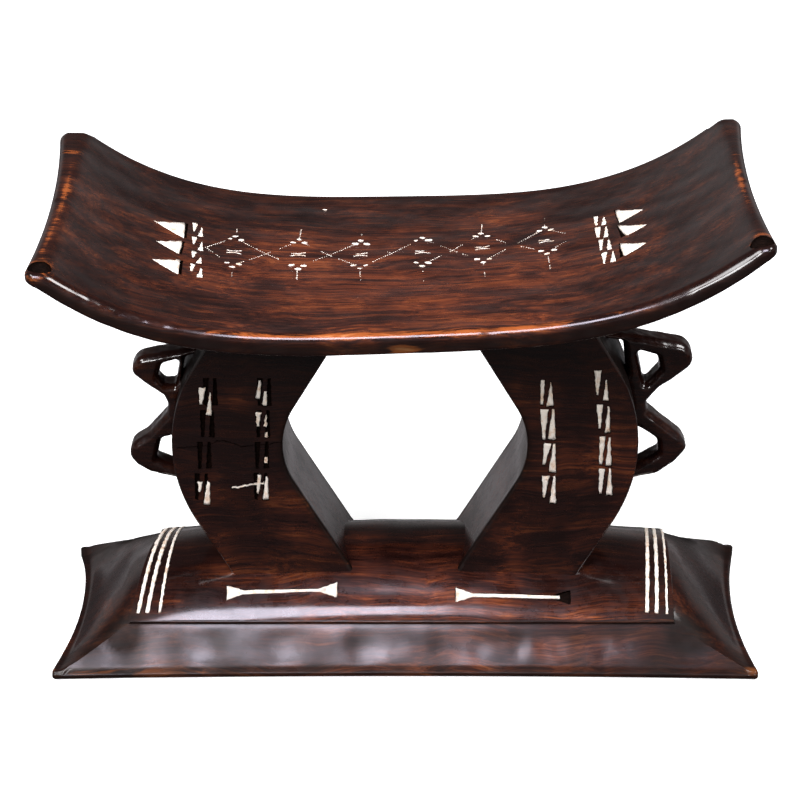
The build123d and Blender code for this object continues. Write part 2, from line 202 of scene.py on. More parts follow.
def slab(name: str, upper: Array, lower: Array, levels: Sequence[float]) -> bpy.types.Object:
    """Closed solid from two faces of equal layout and a wall between their rims.

    Args:
        name: Name of the object.
        upper: Rows of points of the one face.
        lower: Rows of points of the other face.
        levels: Shares of the way from upper to lower at which the wall has points.

    Returns:
        The closed object.
    """
    rows, columns = upper.shape[:2]
    count = rows * columns
    grid = np.arange(count).reshape(rows, columns)
    rim = np.concatenate([grid[0], grid[1:, -1], grid[-1, -2::-1], grid[-2:0:-1, 0]])
    quads = np.stack([grid[:-1, :-1], grid[:-1, 1:], grid[1:, 1:], grid[1:, :-1]], -1).reshape(-1, 4)
    points = [upper.reshape(-1, 3), lower.reshape(-1, 3)]
    top, bottom = upper.reshape(-1, 3)[rim], lower.reshape(-1, 3)[rim]
    rings = [rim]
    for number, level in enumerate(levels):
        points.append(mix(top, bottom, level))
        rings.append(2 * count + number * len(rim) + np.arange(len(rim)))
    rings.append(rim + count)
    faces = [quads, quads[:, ::-1] + count]
    for near, far in zip(rings[:-1], rings[1:]):
        faces.append(np.stack([near, far, np.roll(far, -1), np.roll(near, -1)], -1))
    return new_object(name, np.concatenate(points), np.concatenate(faces).tolist())


def points_of(obj: bpy.types.Object) -> Array:
    """Corner points of an object's mesh, in millimetres.

    Args:
        obj: The object.

    Returns:
        One row of x, y and z for each corner point.
    """
    flat = np.empty(len(obj.data.vertices) * 3, np.float32)
    obj.data.vertices.foreach_get("co", flat)
    return flat.reshape(-1, 3).astype(float) / MM


def move_points(obj: bpy.types.Object, points: Array) -> None:
    """Puts an object's corner points at new places, given in millimetres."""
    obj.data.vertices.foreach_set("co", (points * MM).astype(np.float32).ravel())
    obj.data.update()


def turn_outwards(obj: bpy.types.Object) -> None:
    """Turns the faces of closed shapes outwards: a pattern laid on a back face comes out mirrored.

    Args:
        obj: An object of closed shapes.
    """
    work = bmesh.new()
    work.from_mesh(obj.data)
    bmesh.ops.recalc_face_normals(work, faces=work.faces)
    work.to_mesh(obj.data)
    work.free()


def mark(obj: bpy.types.Object, name: str, values: Array) -> None:
    """Keeps one number for each corner point, for the finish to read."""
    layer = obj.data.attributes.new(name, "FLOAT", "POINT")
    layer.data.foreach_set("value", np.clip(values, 0, 1).astype(np.float32))


def as_plain(obj: bpy.types.Object) -> None:
    """Turns what an object's modifiers make into its plain mesh.

    Args:
        obj: An object with its modifiers in place.
    """
    bpy.context.view_layer.update()
    graph = bpy.context.evaluated_depsgraph_get()
    mesh = bpy.data.meshes.new_from_object(
        obj.evaluated_get(graph), preserve_all_data_layers=True, depsgraph=graph
    )
    obj.modifiers.clear()
    obj.data = mesh


def only_finish(obj: bpy.types.Object, finish: Any) -> None:
    """Gives every face of an object one finish.

    Args:
        obj: The object.
        finish: The finish.
    """
    obj.data.materials.clear()
    obj.data.materials.append(finish.material())
    obj.data.polygons.foreach_set("material_index", [0] * len(obj.data.polygons))


def cut(obj: bpy.types.Object, tool: bpy.types.Object) -> None:
    """Cuts a closed tool shape out of an object and keeps the tool's finish on the cut faces.

    Args:
        obj: The piece that is cut.
        tool: The closed shape that is taken out of it, which is used up.
    """
    for material in tool.data.materials:
        if material.name not in obj.data.materials:
            obj.data.materials.append(material)
    modifier = obj.modifiers.new("cut", "BOOLEAN")
    modifier.operation = "DIFFERENCE"
    modifier.solver = "MANIFOLD"
    modifier.material_mode = "TRANSFER"
    modifier.object = tool
    before = len(obj.data.polygons)
    as_plain(obj)
    LOG.info("%s: %d faces became %d by cutting %s", obj.name, before, len(obj.data.polygons), tool.name)
    mesh = tool.data
    bpy.data.objects.remove(tool)
    bpy.data.meshes.remove(mesh)


def join(name: str, parts: Sequence[bpy.types.Object]) -> bpy.types.Object:
    """One object of several, which keep their finishes.

    Args:
        name: Name of the new object.
        parts: The objects, which are used up.

    Returns:
        The linked object, at the origin.
    """
    work = bmesh.new()
    materials: list[bpy.types.Material] = []
    for part in parts:
        start = len(work.faces)
        work.from_mesh(part.data)
        work.faces.ensure_lookup_table()
        numbers = []
        for material in part.data.materials:
            if material not in materials:
                materials.append(material)
            numbers.append(materials.index(material))
        for face in work.faces[start:]:
            face.material_index = numbers[face.material_index] if numbers else 0
    mesh = bpy.data.meshes.new(name)
    work.to_mesh(mesh)
    work.free()
    for material in materials:
        mesh.materials.append(material)
    for part in parts:
        bpy.data.objects.remove(part)
    obj = bpy.data.objects.new(name, mesh)
    bpy.context.scene.collection.objects.link(obj)
    return obj


# ---- node trees ----------------------------------------------------------------------------------


def add_node(
    tree: bpy.types.NodeTree, kind: str, values: dict[Any, Any] | None = None, **settings: Any
) -> bpy.types.Node:
    """Adds a node to a tree.

    Args:
        tree: Tree of a material, a world or a modifier.
        kind: The node's type name.
        values: For each input, by name or number, a plain value or the output socket that feeds it.
        **settings: The node's own settings.

    Returns:
        The new node.
    """
    node = tree.nodes.new(kind)
    for key, value in settings.items():
        setattr(node, key, value)
    for key, value in (values or {}).items():
        socket = node.inputs[key]
        if isinstance(value, bpy.types.NodeSocket):
            tree.links.new(value, socket)
        else:
            socket.default_value = value
    return node


def linear(code: str) -> tuple[float, float, float, float]:
    """Linear colour from an sRGB hex code."""
    parts = [int(code[i : i + 2], 16) / 255 for i in (1, 3, 5)]
    return (*[c / 12.92 if c <= 0.04045 else ((c + 0.055) / 1.055) ** 2.4 for c in parts], 1.0)


def ramp(
    tree: bpy.types.NodeTree, share: bpy.types.NodeSocket, stops: Sequence[tuple[float, str]]
) -> bpy.types.NodeSocket:
    """Colour that runs through hex stops as a share goes from 0 to 1.

    Args:
        tree: Tree of a material.
        share: Socket with the share.
        stops: Place and hex colour of each stop.

    Returns:
        Socket with the colour.
    """
    node = add_node(tree, "ShaderNodeValToRGB", {"Fac": share})
    while len(node.color_ramp.elements) < len(stops):
        node.color_ramp.elements.new(1.0)
    for element, (place, code) in zip(node.color_ramp.elements, stops):
        element.position = place
        element.color = linear(code)
    return node.outputs["Color"]


def blend(
    tree: bpy.types.NodeTree, share: Any, first: Any, second: Any, kind: str = "MIX"
) -> bpy.types.NodeSocket:
    """Colour mixed of two, by a share.

    Args:
        tree: Tree of a material.
        share: Number or socket that says how much of the second there is.
        first: Hex colour or socket.
        second: Hex colour or socket.
        kind: How the two are mixed.

    Returns:
        Socket with the colour.
    """
    node = add_node(tree, "ShaderNodeMix", data_type="RGBA", blend_type=kind)
    for number, value in ((0, share), (6, first), (7, second)):
        if isinstance(value, bpy.types.NodeSocket):
            tree.links.new(value, node.inputs[number])
        else:
            node.inputs[number].default_value = linear(value) if isinstance(value, str) else value
    return node.outputs[2]


def sums(
    tree: bpy.types.NodeTree, operation: str, *values: Any, clamp: bool = False
) -> bpy.types.NodeSocket:
    """Result of one step of arithmetic on numbers or sockets."""
    named = dict(enumerate(values))
    return add_node(tree, "ShaderNodeMath", named, operation=operation, use_clamp=clamp).outputs[0]


def spread(
    tree: bpy.types.NodeTree, value: Any, low: float, high: float, to_low: float = 0.0, to_high: float = 1.0
) -> bpy.types.NodeSocket:
    """A number brought from one range to another, with soft ends."""
    inputs = {"Value": value, "From Min": low, "From Max": high, "To Min": to_low, "To Max": to_high}
    return add_node(tree, "ShaderNodeMapRange", inputs, interpolation_type="SMOOTHSTEP").outputs[0]


def per_mm(size: float) -> float:
    """Scale of a pattern whose cells measure a size in millimetres."""
    return 1.0 / (size * MM)


# ---- finishes ------------------------------------------------------------------------------------


class Finish:
    """A finish that makes its material once."""

    name: str = "finish"

    def material(self) -> bpy.types.Material:
        """The finish's material, made at the first call.

        Returns:
            The material.
        """
        found = bpy.data.materials.get(self.name)
        if found:
            return found
        made = bpy.data.materials.new(self.name)
        made.use_nodes = True
        made.node_tree.nodes.clear()
        self.paint(made.node_tree)
        return made

    def paint(self, tree: bpy.types.NodeTree) -> None:
        """Fills the material's tree."""
        raise NotImplementedError


@dataclass(frozen=True)
class StainedHardwood(Finish):
    """West African hardwood, adzed and scraped, stained near black and rubbed to a gloss.

    The eye gets long reddish streaks of grain through a dark brown, a soft clear gloss over
    shallow blade marks, and orange wood where hands and feet wore the stain off the edges.
    """

    name: str = "stained_hardwood_carved_and_rubbed"
    streak: float = 1.9
    vein: float = 7.0
    along: float = 120.0
    pore: float = 0.6
    roughness: float = 0.26
    stain: str = "#110706"
    dark: str = "#1e0d09"
    brown: str = "#3e221a"
    red: str = "#683720"
    amber: str = "#90552f"
    bare: str = "#965628"
    pale: str = "#c08a58"

    def paint(self, tree: bpy.types.NodeTree) -> None:
        """Fills the material's tree.

        Args:
            tree: The material's tree.
        """
        where = add_node(tree, "ShaderNodeTexCoord").outputs["Object"]
        bend = add_node(tree, "ShaderNodeTexNoise", {"Vector": where, "Scale": per_mm(90), "Detail": 2.0})
        push = add_node(
            tree, "ShaderNodeVectorMath", {0: bend.outputs["Color"], 1: (0.5, 0.5, 0.5)},
            operation="SUBTRACT"
        )
        drift = add_node(
            tree, "ShaderNodeVectorMath", {0: push.outputs[0], 1: (0.0, 0.03, 0.03)}, operation="MULTIPLY"
        )
        bent = add_node(
            tree, "ShaderNodeVectorMath", {0: where, 1: drift.outputs[0]}, operation="ADD"
        ).outputs[0]
        # Fibres run along X, so every pattern of the grain is drawn out that way.
        slim = self.streak / self.along
        fine_at = add_node(
            tree, "ShaderNodeMapping", {"Vector": bent, "Scale": (slim, 1.0, 1.0)}
        ).outputs[0]
        fine = add_node(
            tree, "ShaderNodeTexNoise",
            {"Vector": fine_at, "Scale": per_mm(self.streak), "Detail": 5.0, "Roughness": 0.6}
        )
        vein_at = add_node(
            tree, "ShaderNodeMapping", {"Vector": bent, "Scale": (self.vein / (self.along * 1.6), 1.0, 1.0)}
        ).outputs[0]
        vein = add_node(
            tree, "ShaderNodeTexNoise",
            {"Vector": vein_at, "Scale": per_mm(self.vein), "Detail": 4.0, "Roughness": 0.55}
        )
        pore_at = add_node(
            tree, "ShaderNodeMapping", {"Vector": bent, "Scale": (self.pore / 14.0, 1.0, 1.0)}
        ).outputs[0]
        pore = add_node(
            tree, "ShaderNodeTexNoise", {"Vector": pore_at, "Scale": per_mm(self.pore), "Detail": 2.0}
        )
        cloud = add_node(tree, "ShaderNodeTexNoise", {"Vector": where, "Scale": per_mm(46), "Detail": 3.0})
        both = sums(
            tree, "ADD", sums(tree, "MULTIPLY", fine.outputs[0], 0.55),
            sums(tree, "MULTIPLY", vein.outputs[0], 0.45)
        )
        both = sums(
            tree, "ADD", both, sums(tree, "MULTIPLY", sums(tree, "SUBTRACT", cloud.outputs[0], 0.5), 0.22)
        )
        colour = ramp(
            tree, both, ((0.36, self.dark), (0.47, self.brown), (0.57, self.red), (0.68, self.amber))
        )
        dark_pore = spread(tree, pore.outputs[0], 0.36, 0.5, 0.55, 0.0)
        colour = blend(tree, dark_pore, colour, self.dark)
        # Where the stain lies thick it hides the grain.
        thin = add_node(tree, "ShaderNodeAttribute", attribute_name="thin").outputs["Fac"]
        cover = sums(
            tree, "ADD", thin, sums(tree, "MULTIPLY", sums(tree, "SUBTRACT", cloud.outputs[0], 0.5), 1.1)
        )
        colour = blend(tree, spread(tree, cover, 0.0, 1.0, 0.1, 1.0), self.stain, colour)
        # Wear shows the bare wood, palest where it is deepest, and always broken up by the grain.
        worn = add_node(tree, "ShaderNodeAttribute", attribute_name="worn").outputs["Fac"]
        rub = sums(tree, "ADD", worn, sums(tree, "MULTIPLY", sums(tree, "SUBTRACT", both, 0.5), 2.4))
        colour = blend(tree, spread(tree, rub, 0.42, 0.9, 0.0, 0.9), colour, self.bare)
        colour = blend(tree, spread(tree, rub, 0.95, 1.35, 0.0, 0.85), colour, self.pale)
        # Polish and soot gathered where a rag could not reach; the same mark also paints shade, darker and
        # duller, under the seat, in crevices, on the pillars and loops and at the base's foot.
        soot_and_shade = add_node(tree, "ShaderNodeAttribute", attribute_name="soot_and_shade").outputs["Fac"]
        colour = blend(tree, sums(tree, "MULTIPLY", soot_and_shade, 0.85), colour, "#120b09")
        smear = add_node(
            tree, "ShaderNodeTexNoise",
            {"Vector": where, "Scale": per_mm(17), "Detail": 4.0, "Roughness": 0.65}
        )
        rough = spread(tree, smear.outputs[0], 0.3, 0.75, self.roughness - 0.06, self.roughness + 0.18)
        rough = sums(tree, "ADD", rough, sums(tree, "MULTIPLY", soot_and_shade, 0.25), clamp=True)
        ridges = sums(
            tree, "ADD", sums(tree, "MULTIPLY", fine.outputs[0], 0.5),
            sums(tree, "MULTIPLY", pore.outputs[0], 0.35)
        )
        bump = add_node(
            tree, "ShaderNodeBump",
            {"Height": ridges, "Distance": 0.0003, "Strength": spread(tree, thin, 0.1, 0.8, 0.05, 0.55)}
        )
        tool = add_node(tree, "ShaderNodeTexNoise", {"Vector": where, "Scale": per_mm(14), "Detail": 1.0})
        scrape = add_node(
            tree, "ShaderNodeBump",
            {"Height": tool.outputs[0], "Distance": 0.0007, "Strength": 0.2, "Normal": bump.outputs[0]}
        )
        dull = add_node(tree, "ShaderNodeAttribute", attribute_name="dull").outputs["Fac"]
        skin = sums(
            tree, "ADD", spread(tree, smear.outputs[0], 0.25, 0.8, 0.1, 0.19),
            sums(tree, "MULTIPLY", dull, 0.3)
        )
        # The rubbed oil over the stain: a clear, much smoother skin, duller where soot and painted shade
        # sit.
        oil = sums(tree, "SUBTRACT", 1.0, soot_and_shade)
        values = {
            "Base Color": colour, "Roughness": rough, "Normal": scrape.outputs[0], "IOR": 1.5,
            "Specular IOR Level": 0.12
        }
        shader = add_node(
            tree, "ShaderNodeBsdfPrincipled",
            {**values, "Coat Weight": oil, "Coat Roughness": skin, "Coat Tint": linear("#ffeef0")}
        )
        add_node(tree, "ShaderNodeOutputMaterial", {"Surface": shader.outputs[0]})


@dataclass(frozen=True)
class ChippedRecess(Finish):
    """The same hardwood where a knife chipped it out: torn, stained and never rubbed.

    The eye gets a dull, near black floor with short fibres, and no gloss: the near black is the stain with
    painted shade of the hollow in it.
    """

    name: str = "stained_hardwood_chip_cut"
    fibre: float = 0.9
    # Near black colours: the stain darkened further as painted shade in the hollows.
    dark: str = "#080403"
    brown: str = "#180d09"

    def paint(self, tree: bpy.types.NodeTree) -> None:
        """Fills the material's tree.

        Args:
            tree: The material's tree.
        """
        where = add_node(tree, "ShaderNodeTexCoord").outputs["Object"]
        along = add_node(tree, "ShaderNodeMapping", {"Vector": where, "Scale": (0.2, 1.0, 1.0)}).outputs[0]
        fibre = add_node(
            tree, "ShaderNodeTexNoise",
            {"Vector": along, "Scale": per_mm(self.fibre), "Detail": 4.0, "Roughness": 0.7}
        )
        colour = ramp(tree, fibre.outputs[0], ((0.4, self.dark), (0.72, self.brown)))
        bump = add_node(
            tree, "ShaderNodeBump", {"Height": fibre.outputs[0], "Distance": 0.0006, "Strength": 0.8}
        )
        shader = add_node(
            tree, "ShaderNodeBsdfPrincipled",
            {"Base Color": colour, "Roughness": 0.6, "Normal": bump.outputs[0], "Specular IOR Level": 0.02}
        )
        add_node(tree, "ShaderNodeOutputMaterial", {"Surface": shader.outputs[0]})


@dataclass(frozen=True)
class PressedClay(Finish):
    """White kaolin clay, pressed wet into the carving, dried, and soiled by use.

    The eye gets a chalky cream that never shines, with pinkish stains, grit and pits.
    """

    name: str = "white_kaolin_pressed_and_dried"
    grit: float = 0.8
    white: str = "#f2e8dd"
    cream: str = "#e4cbb4"
    stain: str = "#b08468"

    def paint(self, tree: bpy.types.NodeTree) -> None:
        """Fills the material's tree.

        Args:
            tree: The material's tree.
        """
        where = add_node(tree, "ShaderNodeTexCoord").outputs["Object"]
        grit = add_node(
            tree, "ShaderNodeTexNoise",
            {"Vector": where, "Scale": per_mm(self.grit), "Detail": 3.0, "Roughness": 0.7}
        )
        patch = add_node(
            tree, "ShaderNodeTexNoise",
            {"Vector": where, "Scale": per_mm(6), "Detail": 4.0, "Roughness": 0.6}
        )
        colour = ramp(tree, patch.outputs[0], ((0.24, self.stain), (0.36, self.cream), (0.5, self.white)))
        colour = blend(tree, spread(tree, grit.outputs[0], 0.3, 0.42, 0.6, 0.0), colour, self.stain)
        # Darker towards brown where the soot-and-shade mark is set.
        rim = add_node(tree, "ShaderNodeAttribute", attribute_name="soot_and_shade").outputs["Fac"]
        colour = blend(tree, sums(tree, "MULTIPLY", rim, 0.6), colour, "#4a2c20")
        bump = add_node(
            tree, "ShaderNodeBump", {"Height": grit.outputs[0], "Distance": 0.0006, "Strength": 0.7}
        )
        shader = add_node(
            tree, "ShaderNodeBsdfPrincipled",
            {"Base Color": colour, "Roughness": 0.9, "Normal": bump.outputs[0], "Specular IOR Level": 0.25}
        )
        add_node(tree, "ShaderNodeOutputMaterial", {"Surface": shader.outputs[0]})


@dataclass(frozen=True)
class PaintedFloor(Finish):
    """Pale matt board under the stool.

    The camera sees it as white paper with the stool's soft shadow, and the wood mirrors the quiet
    grey that such a board has in a dim room: darkest in front of the stool, paler behind it.
    """

    name: str = "matt_pale_board"
    near: str = "#363636"
    far: str = "#8c8c8c"
    paper: str = "#f4f4f4"
    lift: float = 0.62

    def paint(self, tree: bpy.types.NodeTree) -> None:
        """Fills the material's tree.

        Args:
            tree: The material's tree.
        """
        seen = add_node(tree, "ShaderNodeLightPath").outputs["Is Camera Ray"]
        where = add_node(tree, "ShaderNodeTexCoord").outputs["Object"]
        back = add_node(tree, "ShaderNodeSeparateXYZ", {0: where}).outputs["Y"]
        grey = blend(tree, spread(tree, back, 0.12, 0.5), self.near, self.far)
        board = add_node(tree, "ShaderNodeBsdfDiffuse", {"Color": grey})
        paper = add_node(tree, "ShaderNodeBsdfDiffuse", {"Color": linear(self.paper)})
        glow = add_node(
            tree, "ShaderNodeEmission",
            {"Color": linear("#ffffff"), "Strength": spread(tree, back, 0.3, 1.2, self.lift, 1.0)}
        )
        lit = add_node(tree, "ShaderNodeAddShader", {0: paper.outputs[0], 1: glow.outputs[0]})
        both = add_node(tree, "ShaderNodeMixShader", {0: seen, 1: board.outputs[0], 2: lit.outputs[0]})
        add_node(tree, "ShaderNodeOutputMaterial", {"Surface": both.outputs[0]})


WOOD = StainedHardwood()
RECESS = ChippedRecess()
CLAY = PressedClay()


# ---- patterns laid out flat, then wrapped on a surface -------------------------------------------


class Surface(Protocol):
    """A carved surface that flat patterns are wrapped on."""

    def wrap(self, flat: Array) -> Array:
        """Places in space of flat points (across, along, height over the surface)."""
        ...


@dataclass(frozen=True)
class Chip:
    """One chip of the carving, laid out flat."""

    place: tuple[float, float]
    turn: float
    width: float
    length: float
    narrow: float
    lean: float = 0.0
    layer: int = 0


def wedge(x: float, y: float, to_x: float, to_y: float, wide: float, narrow: float, layer: int = 0) -> Chip:
    """Chip from the middle of its wide end to the middle of its narrow end.

    Args:
        x: Place across of its wide end.
        y: Place along of its wide end.
        to_x: Place across of its narrow end.
        to_y: Place along of its narrow end.
        wide: Width of its wide end.
        narrow: Width of its narrow end.
        layer: Turn in which it is cut: chips that touch have different ones.

    Returns:
        The chip.
    """
    length = math.hypot(to_x - x, to_y - y)
    turn = math.degrees(math.atan2(to_x - x, y - to_y))
    return Chip(((x + to_x) / 2, (y + to_y) / 2), turn, wide, length, narrow, 0.0, layer)


def stroke(line: Sequence[tuple[float, float]], wide: float, layer: int) -> list[Chip]:
    """Chips end to end along a line, in turn in two layers."""
    return [wedge(*a, *b, wide, wide * 0.7, layer + i % 2) for i, (a, b) in enumerate(zip(line, line[1:]))]


def three_cornered(
    first: tuple[float, float], second: tuple[float, float], apex: tuple[float, float], longer: float = 0.0
) -> Chip:
    """Chip with three corners.

    Args:
        first: One corner of its blunt end.
        second: The other one.
        apex: Its sharp corner.
        longer: How much further the blunt end reaches.

    Returns:
        The chip.
    """
    a, b, tip = (np.array(c) for c in (first, second, apex))
    middle = (a + b) / 2
    side = (b - a) / np.linalg.norm(b - a)
    ahead = np.array([-side[1], side[0]])
    ahead = ahead if (tip - middle) @ ahead > 0 else -ahead
    length = (tip - middle) @ ahead + longer
    place = middle + ahead * (length / 2 - longer)
    width = float(np.linalg.norm(b - a))
    lean = -2 * float((tip - middle) @ np.array([-ahead[1], ahead[0]])) / width
    return Chip(
        (float(place[0]), float(place[1])), math.degrees(math.atan2(ahead[0], -ahead[1])), width,
        float(length), 0.4, lean
    )


def new_tree(name: str, sizes: Sequence[str], seeded: bool = False) -> bpy.types.NodeTree:
    """Empty Geometry Nodes tree that takes and gives a shape.

    Args:
        name: Name of the tree.
        sizes: Labels of its number inputs.
        seeded: Whether it takes a seed as well.

    Returns:
        The tree, with a finish as its last input.
    """
    tree = bpy.data.node_groups.new(name, "GeometryNodeTree")
    seed = [("Seed", "Int")] if seeded else []
    labels = [
        ("Geometry", "Geometry"), *((label, "Float") for label in sizes), *seed, ("Finish", "Material")
    ]
    for label, kind in labels:
        tree.interface.new_socket(label, in_out="INPUT", socket_type=f"NodeSocket{kind}")
    tree.interface.new_socket("Geometry", in_out="OUTPUT", socket_type="NodeSocketGeometry")
    return tree


class TaperedChips:
    """Geometry Nodes tree that sets a block on each point, as large and as turned as its point says."""

    def __init__(self, name: str, rows: int, columns: int = 5) -> None:
        """Builds the tree.

        Args:
            name: Name of the node tree.
            rows: Points along each chip.
            columns: Points across each chip.
        """
        tree = self.tree = new_tree(name, ["Height"])
        start = add_node(tree, "NodeGroupInput")
        counts = {"Vertices X": columns, "Vertices Y": rows, "Vertices Z": 3}
        block = add_node(tree, "GeometryNodeMeshCube", {"Size": (1, 1, 1), **counts})
        turn, size = (
            add_node(
                tree, "GeometryNodeInputNamedAttribute", {"Name": word}, data_type="FLOAT_VECTOR"
            ).outputs[0]
            for word in ("turn", "size")
        )
        tall = add_node(
            tree, "ShaderNodeCombineXYZ", {"X": 1.0, "Y": 1.0, "Z": start.outputs["Height"]}
        ).outputs[0]
        scale = add_node(tree, "ShaderNodeVectorMath", {0: size, 1: tall}, operation="MULTIPLY").outputs[0]
        inputs = {
            "Points": start.outputs["Geometry"], "Instance": block.outputs["Mesh"], "Rotation": turn,
            "Scale": scale
        }
        stamped = add_node(tree, "GeometryNodeInstanceOnPoints", inputs)
        real = add_node(tree, "GeometryNodeRealizeInstances", {"Geometry": stamped.outputs["Instances"]})
        dressed = add_node(
            tree, "GeometryNodeSetMaterial",
            {"Geometry": real.outputs[0], "Material": start.outputs["Finish"]}
        )
        add_node(tree, "NodeGroupOutput", {0: dressed.outputs[0]})


def socket_id(tree: bpy.types.NodeTree, label: str) -> str:
    """Identifier of a tree's input, by its label."""
    return next(i.identifier for i in tree.interface.items_tree if i.in_out == "INPUT" and i.name == label)


def run_tree(obj: bpy.types.Object, tree: bpy.types.NodeTree, inputs: dict[str, Any]) -> bpy.types.Object:
    """Runs a Geometry Nodes tree on an object and keeps the result as its plain mesh.

    Args:
        obj: The object that the tree starts from.
        tree: The tree.
        inputs: Value of each input, by its label.

    Returns:
        The same object.
    """
    modifier = obj.modifiers.new("rows", "NODES")
    modifier.node_group = tree
    for label, value in inputs.items():
        modifier[socket_id(tree, label)] = value
    as_plain(obj)
    return obj


@dataclass
class ChipRow:
    """A set of chips on one surface, as recesses and as the clay in them."""

    name: str
    chips: list[Chip]
    surface: Surface
    seed: float = 1.0
    rows: int = 11
    room: float = 1.2
    empty: list[Chip] = field(default_factory=list)
    recess_floor: float = -2.4
    recess_top: float = 3.0
    clay_floor: float = -2.6
    clay_top: float = -0.4
    ragged: float = 0.9

    def _blocks(
        self, name: str, chips: Sequence[Chip], low: float, high: float, ragged: float, lumps: float,
        grow: float, finish: Finish
    ) -> bpy.types.Object:
        """Tapered blocks for chips, from one height over the surface to another.

        Args:
            name: Name of the object.
            chips: The chips to make.
            low: Height of the blocks' lower face over the surface.
            high: Height of their upper face.
            ragged: How far the outline strays.
            lumps: How far the faces stray.
            grow: How much wider and longer than the chip each block is.
            finish: Finish of the blocks.

        Returns:
            One object of closed blocks, wrapped on the surface.
        """
        kind = f"tapered_chips_{self.rows}"
        tree = bpy.data.node_groups.get(kind) or TaperedChips(kind, self.rows).tree
        mesh = bpy.data.meshes.new(name)
        mesh.from_pydata([(c.place[0] * MM, c.place[1] * MM, (low + high) / 2 * MM) for c in chips], [], [])
        turn = mesh.attributes.new("turn", "FLOAT_VECTOR", "POINT")
        size = mesh.attributes.new("size", "FLOAT_VECTOR", "POINT")
        for number, chip in enumerate(chips):
            turn.data[number].vector = (0, 0, math.radians(chip.turn))
            size.data[number].vector = ((chip.width + grow) * MM, (chip.length + grow) * MM, 1.0)
        obj = bpy.data.objects.new(name, mesh)
        bpy.context.scene.collection.objects.link(obj)
        inputs = {"Height": (high - low) * MM, "Finish": finish.material()}
        run_tree(obj, tree, inputs)
        points = points_of(obj)
        points = self._taper(points, chips)
        points += self._stray(points, ragged, lumps)
        move_points(obj, self.surface.wrap(points))
        turn_outwards(obj)
        obj.data.shade_smooth()
        only_finish(obj, finish)
        return obj

    def _taper(self, points: Array, chips: Sequence[Chip]) -> Array:
        """Narrows each block towards its end.

        Args:
            points: Corner points of the blocks, laid out flat.
            chips: The chips, in the order of the blocks.

        Returns:
            The narrowed points.
        """
        each = len(points) // max(1, len(chips))
        shaped = points.copy()
        for number, chip in enumerate(chips):
            part = shaped[number * each : (number + 1) * each]
            angle = math.radians(chip.turn)
            spin = np.array([[math.cos(angle), -math.sin(angle)], [math.sin(angle), math.cos(angle)]])
            flat = (part[:, :2] - chip.place) @ spin
            share = np.clip(0.5 - flat[:, 1] / chip.length, 0, 1)
            scale = mix(1.0, chip.narrow / chip.width, share)
            edge = chip.lean * chip.width / 2
            flat[:, 0] = (flat[:, 0] + edge) * scale - edge
            part[:, :2] = flat @ spin.T + chip.place
        return shaped

    def _stray(self, points: Array, ragged: float, lumps: float) -> Array:
        """Small offsets that keep no edge straight.

        Args:
            points: Corner points of the blocks.
            ragged: How far the outline strays.
            lumps: How far the faces stray.

        Returns:
            One offset for each point.
        """
        rng = [BladeWork(1.0, 3.2, int(self.seed) + i) for i in range(3)]
        offsets = np.stack([work.at(points) - 0.5 for work in rng], -1)
        return offsets * np.array([ragged, ragged, lumps])

    def carve(self, body: bpy.types.Object) -> None:
        """Cuts the chips into a piece, layer by layer."""
        every = [*self.chips, *self.empty]
        for layer in sorted({chip.layer for chip in every}):
            chips = [chip for chip in every if chip.layer == layer]
            cut(
                body,
                self._blocks(
                    f"{self.name}_recess_{layer}", chips, self.recess_floor, self.recess_top, self.ragged,
                    0.7, self.room, RECESS
                )
            )

    def clay(self) -> bpy.types.Object:
        """Clay in the chips that kept it."""
        return self._blocks(
            f"{self.name}_clay", self.chips, self.clay_floor, self.clay_top, self.ragged, 0.6, 0.1, CLAY
        )


